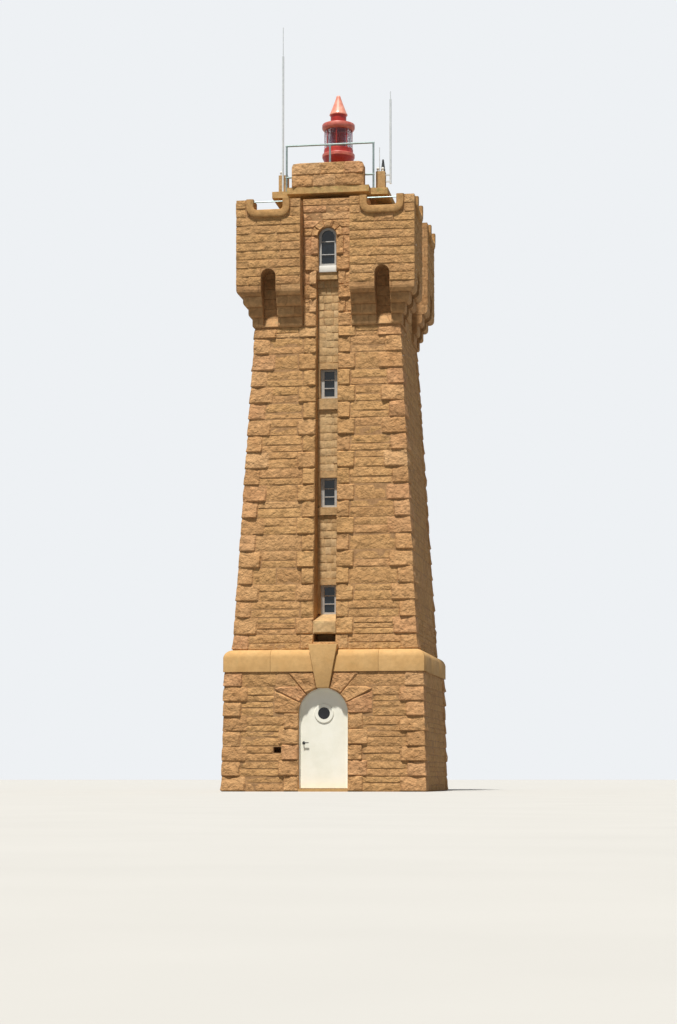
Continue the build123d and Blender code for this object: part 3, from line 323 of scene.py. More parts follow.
def halfWidth(z):  # the walls lean inwards, so the half-width depends on the height
    if z <= tower["baseTop"]:
        share = z / tower["baseTop"]
        return tower["baseFootHalf"] + (tower["baseHeadHalf"] - tower["baseFootHalf"]) * share
    share = (z - tower["shaftFoot"]) / (tower["shaftTop"] - tower["shaftFoot"])
    share = min(max(share, 0), 1)
    return tower["shaftFootHalf"] + (tower["shaftHeadHalf"] - tower["shaftFootHalf"]) * share


def cornerWall(z):
    return tower["cornerHalf"]


def bayWall(z):
    return tower["shaftHeadHalf"]


def vertsOf(geometry):
    return [item for item in geometry if isinstance(item, bmesh.types.BMVert)]


def roundEdges(bm, edges, offset, segments=2):
    bmesh.ops.bevel(bm, geom=edges, offset=offset, affect="EDGES", segments=segments, profile=0.5,
                    material=-1)


# The face of a stone as a grid with narrow margins, given thin sides and a flat back
def stoneSheet(columns, rows):
    bm = bmesh.new()
    bmesh.ops.create_grid(bm, x_segments=len(columns) - 1, y_segments=len(rows) - 1, size=1)
    for vert in bm.verts:
        column = round((vert.co.x + 1) / 2 * (len(columns) - 1))
        row = round((vert.co.y + 1) / 2 * (len(rows) - 1))
        vert.co = (columns[column], rows[row], -1)
    rim = [edge for edge in bm.edges if edge.is_boundary]
    for vert in vertsOf(bmesh.ops.extrude_edge_only(bm, edges=rim)["geom"]):
        vert.co.z = 1
    bmesh.ops.holes_fill(bm, edges=bm.edges[:], sides=0)
    return meshOf(bm, "stoneSheet")


sheets = {
    "long": stoneSheet((-1, -0.92, -0.5, 0, 0.5, 0.92, 1), (-1, -0.74, 0, 0.74, 1)),
    "block": stoneSheet((-1, -0.88, -0.45, 0, 0.45, 0.88, 1), (-1, -0.84, -0.3, 0.35, 0.86, 1)),
    "corner": stoneSheet((-1, -0.93, -0.5, -0.12, 0, 0.12, 0.5, 0.93, 1), (-1, -0.84, -0.2, 0.5, 1)),
    "small": stoneSheet((-1, -0.8, 0.8, 1), (-1, -0.8, 0.8, 1)),
}
quarterTurns = [Matrix.Rotation(radians(90 * i), 4, "Z") for i in range(4)]
# bulge and soft are how far a stone's middle stands out and its rim lies back, in metres
finishes = {
    "quoin": {"scale": 5.0, "bulge": 0.030, "soft": 0.006, "wander": 0.012, "crag": 0.8},
    "rubble": {"scale": 6.0, "bulge": 0.009, "soft": 0.003, "wander": 0.02, "crag": 0.8},
    "small": {"scale": 9.0, "bulge": 0.003, "soft": 0.003, "wander": 0.05, "crag": 0.5},
    "block": {"scale": 5.0, "bulge": 0.018, "soft": 0.003, "wander": 0.0, "crag": 1.0},
}
joint = 0.006  # between two stones, in metres like the next ones
slack = 0.004  # kept to openings, panels and what stands in them
shortest = 0.05  # a narrower span gets no stone
shortMean = 0.5  # mean length of the stones in a narrow span
stoneDepth = 0.05  # how far a stone's back lies behind its wall's face
backMark = -0.04  # deeper than any point of a face, so what is deeper is a back
rimMark = 0.99  # on a face from -1 to 1, what lies further out is its rim
quoinSpread = (0.96, 1.04)  # how much the quoins' lengths vary


def between(low, high, mark):  # the marks on a stone's face run from -1 to 1
    return low + (high - low) * (mark + 1) / 2


def sidePair(sign, near, far):  # the left and right end of a span on one side of the middle
    return sorted((sign * near, sign * far))


# Lays one rock-faced stone: place(u, w, out) turns its -1..1 face into metres, out of the wall
def layStone(bm, sheet, place, finish, proud=0.0, turn=quarterTurns[0]):
    layer = bm.verts.layers.float.get("stoneTone") or bm.verts.layers.float.new("stoneTone")
    look = finishes[finish]
    bm.from_mesh(sheets[sheet])
    bm.verts.ensure_lookup_table()
    tone = min(max(rng.gauss(0.5, 0.22), 0), 1)
    drift = Vector([rng.uniform(0, 50) for axis in range(3)])
    for vert in bm.verts[-len(sheets[sheet].vertices):]:
        u, w, back = vert.co
        spot = place(u, w, 0.0)
        lump = noise.noise(spot * look["scale"] + drift)
        crag = noise.noise(spot * look["scale"] * 2.7 - drift)
        if back > 0:
            out = -stoneDepth
        elif max(abs(u), abs(w)) > rimMark:
            out = proud - look["soft"] * (1 + lump)
        else:  # heavier towards its foot, which throws the shade under it
            out = proud + look["bulge"] * ((1 - 0.5 * w) * (0.6 + 0.9 * lump) + look["crag"] * crag)
        if abs(w) > rimMark:
            w -= w * look["wander"] * (0.6 + lump)
        if abs(u) > rimMark:
            u -= u * look["wander"] * 0.5 * (0.6 + lump)
        vert.co = turn @ place(u, w, out)
        vert[layer] = tone


# A stone's place on a wall, between its course's bed joints
def wallPlace(left, right, low, high, wallAt=halfWidth, clear=None, back=None):
    foot, head = low + joint / 2, high - joint / 2

    def place(u, w, out):
        x, z = between(left, right, u), between(foot, head, w)
        if clear:
            x, z = clear(x, z)
        y = -back if back and out < backMark else -wallAt(z) - out
        return Vector((x, y, z))
    return place


def arcClearance(centre, spring, radius):  # pushes a stone's points out of a round-headed opening
    def clear(x, z):
        across, up = x - centre, z - spring
        if up <= 0:
            if abs(across) < radius:
                across = radius if across >= 0 else -radius
        elif hypot(across, up) < radius:
            angle = atan2(up, across)
            across, up = radius * cos(angle), radius * sin(angle)
        return centre + across, spring + up
    return clear


def layCourse(bm, left, right, low, high, mean, finish="rubble", proud=0.0, turn=quarterTurns[0], **more):
    if right - left < shortest:
        return
    count = max(1, round((right - left) / mean))
    cuts = [left + (right - left) * (i + rng.uniform(-0.26, 0.26) * (0 < i < count)) / count
            for i in range(count + 1)]
    sheet = "small" if finish == "small" else "long"
    for start, stop in pairwise(cuts):
        place = wallPlace(start + joint / 2, stop - joint / 2, low, high, **more)
        layStone(bm, sheet, place, finish, proud + rng.uniform(-0.003, 0.006), turn=turn)


# Quoins: alternate long and short blocks, each folded round its corner
def layQuoins(bm, levels, lengths, proud, phase=0, wallAt=halfWidth, finish="quoin"):
    for corner, turn in enumerate(quarterTurns):
        for i, (low, high) in enumerate(pairwise(levels)):
            long, short = (length * rng.uniform(*quoinSpread) for length in lengths)
            alongFront, alongSide = (long, short) if (i + corner + phase) % 2 else (short, long)
            foot, head = low + joint / 2, high - joint / 2

            def place(u, w, out):
                z = between(foot, head, w)
                half = wallAt(z)
                if out > 0:  # the arris is worn back
                    out *= 0.4 + 0.6 * min(3 * abs(u), 1)
                if u <= 0:
                    return Vector((half + out * (1 + u) + alongFront * u, -half - out, z))
                return Vector((half + out, -half - out * (1 - u) + alongSide * u, z))

            layStone(bm, "corner", place, finish, proud * rng.uniform(0.7, 1.3), turn=turn)


shaftWall = {"quoins": (0.47, 0.32), "jambs": (0.36, 0.26), "mean": 0.75, "proud": 0.008,
             "firstBed": 3.17, "course": 0.3417, "beds": 19, "underStrip": 0.226}
shaftBeds = [shaftWall["firstBed"] + shaftWall["course"] * i for i in range(shaftWall["beds"])]
shaftLevels = [tower["shaftFoot"], *shaftBeds, tower["shaftTop"]]
bm = bmesh.new()
layQuoins(bm, shaftLevels, shaftWall["quoins"], shaftWall["proud"])
finishPiece(bm, "shaftQuoins", graniteOf["splitGranite"], smooth=18)

baseWall = {"quoins": (0.49, 0.36), "jambs": (0.30, 0.40), "courses": 8, "mean": 0.75, "proud": 0.010}
baseLevels = [tower["baseTop"] * i / baseWall["courses"] for i in range(baseWall["courses"] + 1)]
bm = bmesh.new()
layQuoins(bm, baseLevels, baseWall["quoins"], baseWall["proud"], phase=1)
finishPiece(bm, "baseQuoins", graniteOf["splitGranite"], smooth=18)
print("quoins laid")


def thinRows(low, high):  # one to three uneven rows of rubble to each quoin
    shares = rng.choice([(0.5,), (0.45,), (0.58,), (0.4,), (0.62,), (), (0.34, 0.66)])
    levels = [low, *[low + (high - low) * share for share in shares], high]
    return pairwise(levels)


def quoinEnd(look, i, side, phase=0):  # where the corner blocks end on this side in this course
    return look["quoins"][0 if (i + side + phase) % 2 else 1] * quoinSpread[0]


# Shaft: rubble between the quoins, and rough jamb stones beside the window strip
for side, name in enumerate(("Front", "Right", "Back", "Left")):
    bm, turn = bmesh.new(), quarterTurns[side]
    for i, (low, high) in enumerate(pairwise(shaftLevels)):
        edge = halfWidth((low + high) / 2) - quoinEnd(shaftWall, i, side)
        spans = [(-edge, edge)]
        if side == 0:
            gap = tower["stripHalf"]
            jamb = shaftWall["jambs"][0 if i % 2 else 1]
            spans = [(-edge, -gap - jamb), (gap + jamb, edge)]
            for sign in (-1, 1):
                span = sidePair(sign, gap - slack, gap + jamb - joint)
                place = wallPlace(*span, low, high, back=tower["stripBack"])
                layStone(bm, "block", place, "quoin", shaftWall["proud"] * rng.uniform(0.6, 1.2))
        for foot, head in thinRows(low, high):
            for start, stop in spans:
                layCourse(bm, start, stop, foot, head, shaftWall["mean"] * rng.uniform(0.8, 1.2), turn=turn)
    if side == 0:  # the course under the strip runs through
        half = shaftWall["underStrip"]
        layCourse(bm, -half, half, tower["shaftFoot"], tower["stripFoot"], shortMean)
    finishPiece(bm, f"shaftStones{name}", graniteOf["rubbleGranite"], smooth=22)
print("shaft laid")

# Base storey: jamb stones, three rough arch stones on each side and rubble
doorway = {"radius": 0.503, "spring": 1.572, "rebate": 1.948, "jambCourses": 5, "lap": 0.01,
           "beside": 1.0, "above": 0.49}
vent = {"course": 2, "rows": ((0.603, 0.762), (0.762, 0.904)), "foot": 0.775, "edge": -1.010, "jamb": 0.338}
# each arch stone: its first and last angle from upright, and how far it reaches across and up
arch = {"stones": [(14.6, 42.0, 0.72, 0.822), (42.0, 65.0, 0.99, 0.535), (65.0, 90.0, 0.99, 2.0)],
        "gap": 1.0, "keyGap": 0.005, "proud": 0.008}
keystone = {"foot": 2.078, "head": 2.960, "front": 2.108, "back": 1.881, "edge": 0.010, "tone": 0.8,
            "footHalf": 0.128, "flare": 0.1876}


def keystoneHalf(z):
    return keystone["footHalf"] + (z - keystone["foot"]) * keystone["flare"]


def beyondArch(x, z):  # pushes the rubble's points out of the arch stones
    rise = z - doorway["spring"]
    if rise <= 0:
        return x, z
    reach = doorway["beside"]
    if rise >= arch["stones"][1][3]:
        reach = max(rise * tan(radians(arch["stones"][0][1])), doorway["above"])
    return (reach if x > 0 else -reach) if abs(x) < reach else x, z


bm = bmesh.new()
for i, (low, high) in enumerate(pairwise(baseLevels)):
    edge = halfWidth((low + high) / 2) - quoinEnd(baseWall, i, 0, 1)
    inner = doorway["above"] if i == baseWall["courses"] - 1 else doorway["beside"]
    if i < doorway["jambCourses"]:
        inner = doorway["radius"] + baseWall["jambs"][0] - doorway["lap"]
    for foot, head in vent["rows"] if i == vent["course"] else thinRows(low, high):
        for sign in (-1, 1):
            start, stop = sidePair(sign, inner, edge)
            mean = baseWall["mean"] * rng.uniform(0.8, 1.2)
            if sign < 0 and foot < vent["foot"] < head:  # this row ends at the vent
                layCourse(bm, start, vent["edge"] - slack, foot, head, mean)
            else:
                layCourse(bm, start, stop, foot, head, mean, clear=beyondArch)
finishPiece(bm, "baseStonesFront", graniteOf["rubbleGranite"], smooth=22)

bm = bmesh.new()
for i in range(doorway["jambCourses"]):
    low, high = (doorway["spring"] * (i + step) / doorway["jambCourses"] for step in (0, 1))
    for sign in (-1, 1):
        if (i, sign) == (vent["course"], -1):  # this one ends at the vent
            jamb = vent["jamb"]
        else:
            jamb = baseWall["jambs"][i % 2] * rng.uniform(0.97, 1.04)
        span = sidePair(sign, doorway["radius"], doorway["radius"] + jamb)
        place = wallPlace(*span, low, high, back=doorway["rebate"])
        layStone(bm, "block", place, "quoin", baseWall["proud"] * rng.uniform(0.7, 1.2))
for first, last, across, up in arch["stones"]:
    for sign in (-1, 1):
        def place(u, w, out):
            angle = radians(between(first + arch["gap"] / 2, last - arch["gap"] / 2, u))
            outer = min(across / sin(angle), up / max(cos(angle), 0.001))
            reach = between(doorway["radius"], outer, w)
            x, z = reach * sin(angle), doorway["spring"] + reach * cos(angle)
            if first == arch["stones"][0][0]:  # the stone beside the keystone follows its flank
                flank = keystoneHalf(z) + arch["keyGap"] - tan(radians(first)) * (z - doorway["spring"])
                x += flank * (1 - u) / 2
            return Vector((sign * x, -doorway["rebate"] if out < backMark else -halfWidth(z) - out, z))
        layStone(bm, "block", place, "quoin", arch["proud"] * rng.uniform(0.8, 1.3))
finishPiece(bm, "doorwayStones", graniteOf["splitGranite"], smooth=18)

for side, name in enumerate(("Right", "Back", "Left"), start=1):
    bm = bmesh.new()
    for i, (low, high) in enumerate(pairwise(baseLevels)):
        edge = halfWidth((low + high) / 2) - quoinEnd(baseWall, i, side, 1)
        for foot, head in thinRows(low, high):
            layCourse(bm, -edge, edge, foot, head, baseWall["mean"], turn=quarterTurns[side])
    finishPiece(bm, f"baseStones{name}", graniteOf["rubbleGranite"], smooth=22)
print("base storey laid")

# Keystone and string course: fine dressed blocks, mitred at the corners
bm = bmesh.new()
outline = [(-1, keystone["foot"]), (1, keystone["foot"]), (1, keystone["head"]), (-1, keystone["head"])]
verts = [bm.verts.new((sign * keystoneHalf(z), -keystone["front"], z)) for sign, z in outline]
made = bmesh.ops.extrude_face_region(bm, geom=[bm.faces.new(verts)])["geom"]
bmesh.ops.translate(bm, vec=(0, keystone["front"] - keystone["back"], 0), verts=vertsOf(made))
roundEdges(bm, bm.edges[:], keystone["edge"], segments=3)
tones = bm.verts.layers.float.new("stoneTone")
for vert in bm.verts:
    vert[tones] = keystone["tone"]
finishPiece(bm, "keystone", graniteOf["dressedGranite"], ("door_keystone",))

course = {"inner": 1.05, "foot": 2.411, "half": 2.048, "shoulder": 2.705, "top": 2.858, "topHalf": 1.899,
          "round": 0.024, "joint": 0.0015, "edge": 0.006, "keyGap": 0.002, "ends": (-0.74, 0.68),
          "frontEnds": (-1.08, 1.12)}
profile = [(course["inner"], course["foot"]), (course["half"], course["foot"])]
for share in (0.0, 0.2, 0.4, 0.6, 0.8, 1.0):  # the weathering swells a little between its two edges
    swell = 4 * share * (1 - share) * course["round"]
    profile.append((course["half"] + (course["topHalf"] - course["half"]) * share + swell,
                    course["shoulder"] + (course["top"] - course["shoulder"]) * share + swell))
profile.append((course["inner"], course["top"]))


def courseBlock(bm, startAt, stopAt):
    verts = [bm.verts.new((startAt(reach, z) + course["joint"], -reach, z)) for reach, z in profile]
    made = bmesh.ops.extrude_face_region(bm, geom=[bm.faces.new(verts)])["geom"]
    ends = vertsOf(made)
    for vert in ends:
        vert.co.x = stopAt(-vert.co.y, vert.co.z) - course["joint"]
    rims = [edge for vert in verts + ends for edge in vert.link_edges
            if (edge.verts[0] in verts) == (edge.verts[1] in verts)]
    roundEdges(bm, list(dict.fromkeys(rims)), course["edge"])


bm = bmesh.new()
tones = bm.verts.layers.float.new("stoneTone")
for side, turn in enumerate(quarterTurns):
    marks = course["ends"] if side else course["frontEnds"]
    cuts = [lambda reach, z: -reach, lambda reach, z, x=marks[0]: x, lambda reach, z, x=marks[1]: x,
            lambda reach, z: reach]
    if side == 0:
        cuts[2:2] = [lambda reach, z: -keystoneHalf(z) - course["keyGap"],
                     lambda reach, z: keystoneHalf(z) + course["keyGap"]]
    for i, (start, stop) in enumerate(pairwise(cuts)):
        if side == 0 and i == 2:  # the keystone stands here
            continue
        known = len(bm.verts)
        courseBlock(bm, start, stop)
        bm.verts.ensure_lookup_table()
        tone = rng.uniform(0.1, 0.9)
        for vert in bm.verts[known:]:
            vert.co = turn @ vert.co
            vert[tones] = tone
finishPiece(bm, "stringCourse", graniteOf["dressedGranite"], ("string_course",))
print("string course laid")

# Crown: thin rough courses on the corner blocks, round the slots and under the crenels
crown = {"courses": 8, "slotCentre": 1.178, "slotHalf": 0.155, "slotSpring": 10.560, "mouldingFoot": 11.784,
         "mouldingBed": 11.968, "mouldingHalf": 0.455, "mean": 0.55, "quoins": (0.44, 0.26),
         "topQuoins": (0.2, 0.2), "proud": 0.004}
crownLevels = [tower["corbelTop"] + (crown["mouldingFoot"] - tower["corbelTop"]) * i / crown["courses"]
               for i in range(crown["courses"] + 1)]
crownLevels += [crown["mouldingBed"], tower["cornerTop"]]
slotTop = crown["slotSpring"] + crown["slotHalf"]
bm = bmesh.new()
layQuoins(bm, crownLevels[:-2], crown["quoins"], crown["proud"], wallAt=cornerWall, finish="rubble")
layQuoins(bm, crownLevels[-3:], crown["topQuoins"], crown["proud"], wallAt=cornerWall, finish="rubble")
for side, turn in enumerate(quarterTurns):
    for sign in (-1, 1):
        centre = sign * crown["slotCentre"]
        clear = arcClearance(centre, crown["slotSpring"], crown["slotHalf"] + slack)
        for i, (low, high) in enumerate(pairwise(crownLevels)):
            inner = tower["cornerInner"]
            if i >= crown["courses"]:  # beside the moulding, up to the top
                span = sidePair(sign, inner, crown["slotCentre"] - crown["mouldingHalf"])
                layCourse(bm, *span, low, high, crown["mean"], turn=turn, wallAt=cornerWall)
                continue
            left, right = sidePair(sign, inner, tower["cornerHalf"] - quoinEnd(crown, i, side))
            spans = [(left, right)]
            if low < slotTop:
                spans = [(left, min(centre - crown["slotHalf"], right)),
                         (max(centre + crown["slotHalf"], left), right)]
            for start, stop in spans:
                layCourse(bm, start, stop, low, high, crown["mean"], turn=turn, wallAt=cornerWall,
                          proud=crown["proud"], clear=clear if low < slotTop else None)
finishPiece(bm, "crownStones", graniteOf["rubbleGranite"], smooth=22)

# Roll mouldings round the crenels: one rounded section led down, across and up again
moulding = {"half": 0.305, "floor": 11.934, "corner": 0.060, "head": 12.154, "steps": 5,
            "section": [(-0.003, -0.01), (-0.003, 0.030), (0.006, 0.051), (0.027, 0.060), (0.123, 0.060),
                        (0.144, 0.051), (0.153, 0.030), (0.153, -0.01)]}


def layMoulding(bm, centre, look=moulding):
    left, right = centre - look["half"], centre + look["half"]
    bend, drop = look["floor"] + look["corner"], look["head"] - look["floor"] - look["corner"]
    verts = [bm.verts.new((left - out, -tower["cornerHalf"] - proud, look["head"]))
             for out, proud in look["section"]]
    end = [bm.faces.new(verts)]
    for kind, value in (("run", (0, 0, -drop)), ("turn", (left + look["corner"], 0, bend)),
                        ("run", (right - left - 2 * look["corner"], 0, 0)),
                        ("turn", (right - look["corner"], 0, bend)), ("run", (0, 0, drop))):
        if kind == "run":
            made = bmesh.ops.extrude_face_region(bm, geom=end)["geom"]
            bmesh.ops.translate(bm, vec=value, verts=vertsOf(made))
        else:
            made = bmesh.ops.spin(bm, geom=end, cent=value, axis=(0, 1, 0), angle=radians(-90),
                                  steps=look["steps"], use_duplicate=False)["geom_last"]
        end = [item for item in made if isinstance(item, bmesh.types.BMFace)]


bm = bmesh.new()
for turn in quarterTurns:
    for sign in (-1, 1):
        known = len(bm.verts)
        layMoulding(bm, sign * crown["slotCentre"])
        bm.verts.ensure_lookup_table()
        bmesh.ops.transform(bm, matrix=turn, verts=bm.verts[known:])
finishPiece(bm, "crenelMouldings", graniteOf["carvedGranite"], smooth=35)

# Set-back bays: plain rubble on three sides, jamb blocks beside the strip and window in front
bay = {"courses": 14, "windowHalf": 0.185, "windowSpring": 11.432, "windowFoot": 10.692, "windowBack": 1.414,
       "ring": 0.33, "ringStones": 5, "ringJoint": 1.0, "ringGap": 0.006, "ringFoot": 0.1,
       "ringTop": 11.662, "blocks": (0.275, 0.15), "proud": 0.004,
       "beds": (9.83, 10.12, 10.41, 10.70, 11.03, 11.432, 11.60, 11.76, 11.92, 12.07)}
bm = bmesh.new()
height = (tower["bayTop"] - tower["shaftTop"]) / bay["courses"]
for side, turn in enumerate(quarterTurns[1:], start=1):
    for i in range(bay["courses"]):
        low = tower["shaftTop"] + i * height
        layCourse(bm, -tower["cornerInner"], tower["cornerInner"], low, low + height, shortMean, turn=turn,
                  wallAt=bayWall)
finishPiece(bm, "bayStones", graniteOf["rubbleGranite"], smooth=22)

bm = bmesh.new()
bayLevels = [tower["shaftTop"], *bay["beds"], tower["bayTop"]]
ringClear = arcClearance(0, bay["windowSpring"], bay["ring"] + bay["ringGap"])
for i, (low, high) in enumerate(pairwise(bayLevels)):
    for sign in (-1, 1):
        if high <= bay["windowSpring"]:
            inner, back = tower["stripHalf"] - slack, tower["stripBack"]
            if low >= bay["windowFoot"]:
                inner, back = bay["windowHalf"] + slack, bay["windowBack"]
            outer = inner + bay["blocks"][i % 2]
            place = wallPlace(*sidePair(sign, inner, outer), low, high, wallAt=bayWall, back=back)
            layStone(bm, "block", place, "quoin", bay["proud"])
            span = sidePair(sign, outer, tower["cornerInner"])
            layCourse(bm, *span, low, high, shortMean, wallAt=bayWall)
        elif low < bay["ringTop"]:
            span = sidePair(sign, bay["ringFoot"], tower["cornerInner"])
            layCourse(bm, *span, low, high, shortMean, wallAt=bayWall, clear=ringClear)
    if low >= bay["ringTop"]:
        layCourse(bm, -tower["cornerInner"], tower["cornerInner"], low, high, shortMean, wallAt=bayWall,
                  clear=ringClear)
step = 180 / bay["ringStones"]
for i in range(bay["ringStones"]):  # rough ring over the arched window
    def place(u, w, out):
        angle = radians(between(step * i + bay["ringJoint"], step * (i + 1) - bay["ringJoint"], u) - 90)
        reach = between(bay["windowHalf"] + slack, bay["ring"] + slack, w)
        y = -bay["windowBack"] if out < backMark else -tower["shaftHeadHalf"] - out
        return Vector((reach * sin(angle), y, bay["windowSpring"] + reach * cos(angle)))
    layStone(bm, "block", place, "quoin", bay["proud"])
finishPiece(bm, "bayStonesFront", graniteOf["splitGranite"], smooth=18)

# Small squarish stones in the strip's panels, their joints nearly flush
strip = {"course": 0.155, "mean": 0.18, "proud": 0.004,
         "panels": [(4.340, 5.657), (6.552, 7.845), (8.810, 10.542)]}
bm = bmesh.new()
for foot, head in strip["panels"]:
    count = round((head - foot) / strip["course"])
    for i in range(count):
        low, high = foot + (head - foot) * i / count, foot + (head - foot) * (i + 1) / count
        layCourse(bm, -tower["stripHalf"] + slack, tower["stripHalf"] - slack, low, high, strip["mean"],
                  finish="small", proud=strip["proud"], wallAt=lambda z: tower["stripBack"])
finishPiece(bm, "stripStones", graniteOf["paleGranite"], smooth=25)

# the rough face of the deep sill under the lowest window
lowSill = {"half": 0.222, "foot": 3.189, "head": 3.427, "front": 1.893}
bm = bmesh.new()
place = wallPlace(-lowSill["half"], lowSill["half"], lowSill["foot"], lowSill["head"],
                  wallAt=lambda z: lowSill["front"])
layStone(bm, "block", place, "block")
finishPiece(bm, "lowSillFace", graniteOf["paleGranite"], smooth=22)
print("crown, bays and strip laid")

# Front block on the platform: two courses of rough stones with rounded shoulders
block = {"half": 0.755, "front": 1.480, "back": 1.250, "top": 12.987, "round": 0.10, "gap": 0.002,
         "courses": [(12.480, 12.732, (-0.755, -0.31, 0.16, 0.755)),
                     (12.732, 12.987, (-0.755, -0.14, 0.345, 0.755))]}
bm = bmesh.new()
for foot, head, cuts in block["courses"]:
    for start, stop in pairwise(cuts):
        def place(u, w, out):
            x = between(start + block["gap"], stop - block["gap"], u)
            z = between(foot + block["gap"], head - block["gap"], w)
            over, rise = abs(x) - block["half"] + block["round"], z - block["top"] + block["round"]
            if over > 0 and rise > 0 and hypot(over, rise) > block["round"]:
                fit = block["round"] / hypot(over, rise)
                x += (over * fit - over) * (1 if x > 0 else -1)
                z += rise * fit - rise
            return Vector((x, -block["back"] if out < backMark else -block["front"] - out, z))
        layStone(bm, "block", place, "block")
finishPiece(bm, "frontBlockStones", graniteOf["splitGranite"], replaces=("platform_front_block",), smooth=20)


# Smooth round pieces of the lantern, spun from their profiles
def spinPiece(name, profile, material, replaces=(), steps=48, spots=((0, 0),)):
    bm = bmesh.new()
    for x, y in spots:
        verts = [bm.verts.new((x + radius, y, z)) for radius, z in profile]
        edges = [bm.edges.new(pair) for pair in pairwise(verts)]
        bmesh.ops.spin(bm, geom=verts + edges, cent=(x, y, 0), axis=(0, 0, 1), angle=2 * pi, steps=steps,
                       use_merge=True)
    bmesh.ops.remove_doubles(bm, verts=bm.verts[:], dist=0.0001)
    finishPiece(bm, name, material, replaces, smooth=30)


lantern = {  # each profile as radius and height
    "pedestal": [(0, 12.480), (0.240, 12.480), (0.240, 12.497), (0.232, 12.505), (0.150, 12.505),
                 (0.150, 13.000), (0.156, 13.040), (0.185, 13.115), (0.312, 13.415), (0.336, 13.470),
                 (0.338, 13.486), (0, 13.486)],
    "ring": [(0, 13.486), (0.340, 13.486), (0.348, 13.494), (0.348, 13.550), (0.342, 13.560),
             (0.318, 13.563), (0, 13.563)],
    "sill": [(0, 13.563), (0.314, 13.563), (0.312, 13.570), (0.312, 13.662), (0.306, 13.670), (0, 13.670)],
    "cornice": [(0, 14.077), (0.308, 14.077), (0.318, 14.082), (0.338, 14.103), (0.350, 14.124),
                (0.350, 14.196), (0.342, 14.210), (0.300, 14.222), (0.190, 14.244), (0.168, 14.254),
                (0, 14.254)],
    "neck": [(0, 14.254), (0.168, 14.254), (0.168, 14.412), (0, 14.412)],
    "roof": [(0, 14.412), (0.186, 14.412), (0.193, 14.420), (0.193, 14.434), (0.184, 14.450),
             (0.160, 14.505), (0.128, 14.588), (0.098, 14.668), (0.072, 14.738), (0.056, 14.786),
             (0.050, 14.808), (0.046, 14.826), (0.036, 14.840), (0.020, 14.848), (0, 14.850)],
    "drum": [(0.282, 13.670), (0.290, 13.670), (0.290, 14.077), (0.282, 14.077), (0.282, 13.670)],
}
# the ring, cornice and roof take the paler coats, partly as painted highlight; the neck takes the deeper red
# as painted shade under the roof
for name, coat, hidden in (("Pedestal", "redEnamel", ("lantern_pedestal",)), ("Ring", "fadedAndLitEnamel", ()),
                           ("Sill", "redEnamel", ()), ("Cornice", "fadedAndLitEnamel", ("lantern_cornice",)),
                           ("Neck", "redEnamel", ()), ("Roof", "fadedAndHighlitEnamel", ("lantern_roof",))):
    spinPiece(f"lantern{name}", lantern[name.lower()], coatOf[coat], hidden)
spinPiece("lanternDrum", lantern["drum"], glassOf["lanternGlass"], ("lantern_glass",),
          steps=64)
lens = {"half": 0.150, "ribHalf": 0.158, "foot": 13.670, "top": 14.030, "ribs": 9, "firstRib": 13.690,
        "pitch": 0.036}
profile = [(0, lens["foot"]), (lens["half"], lens["foot"])]
for i in range(lens["ribs"]):
    z = lens["firstRib"] + lens["pitch"] * i
    profile += [(lens["half"], z), (lens["ribHalf"], z + 0.009), (lens["ribHalf"], z + 0.018),
                (lens["half"], z + 0.030)]
profile += [(lens["half"], lens["top"]), (0, lens["top"])]
spinPiece("lanternLens", profile, coatOf["redLens"], ("lantern_lamp",))
knobs = {"spots": ((-1.075, -0.905), (0.975, -0.905), (1.075, -0.905)),
         "profile": [(0, 12.895), (0.026, 12.895), (0.026, 12.925), (0.020, 12.932), (0.030, 12.945),
                     (0.034, 12.962), (0.028, 12.982), (0.014, 12.992), (0, 12.994)]}
spinPiece("postKnobs", knobs["profile"], coatOf["whiteSillPaint"], steps=16,
          spots=knobs["spots"])
print("lantern spun")


# Glazing bars
def bevelBox(bm, low, high, width=0.003):
    made = bmesh.ops.create_cube(bm, size=1)["verts"]
    bmesh.ops.scale(bm, verts=made, vec=[b - a for a, b in zip(low, high)])
    bmesh.ops.translate(bm, verts=made, vec=[(a + b) / 2 for a, b in zip(low, high)])
    roundEdges(bm, list(dict.fromkeys(edge for vert in made for edge in vert.link_edges)), width)


windows = {  # each pane's half-width, front and back
    "heads": (4.220, 6.432, 8.690), "height": 0.6, "frame": 0.040, "shares": (0.33, 0.66), "bar": 0.020,
    "pane": (0.105, 1.208, 1.186), "crownBars": (11.06, 11.33), "crownPane": (0.135, 1.408, 1.386),
}
bars = []
for head in windows["heads"]:
    low, high = head - windows["height"] + windows["frame"], head - windows["frame"]
    bars += [(low + (high - low) * share, windows["pane"]) for share in windows["shares"]]
bars += [(z, windows["crownPane"]) for z in windows["crownBars"]]
bm = bmesh.new()
for z, (half, front, back) in bars:
    bevelBox(bm, (-half, -front, z - windows["bar"] / 2), (half, -back, z + windows["bar"] / 2))
finishPiece(bm, "glazingBars", coatOf["greyWindowPaint"])

sillBoard = {"low": (-0.187, -1.447, 10.690), "high": (0.187, -1.352, 10.821)}
bm = bmesh.new()  # the crown window's board is whiter than its frame
bevelBox(bm, sillBoard["low"], sillBoard["high"])
finishPiece(bm, "crownSillBoard", coatOf["whiteSillPaint"])

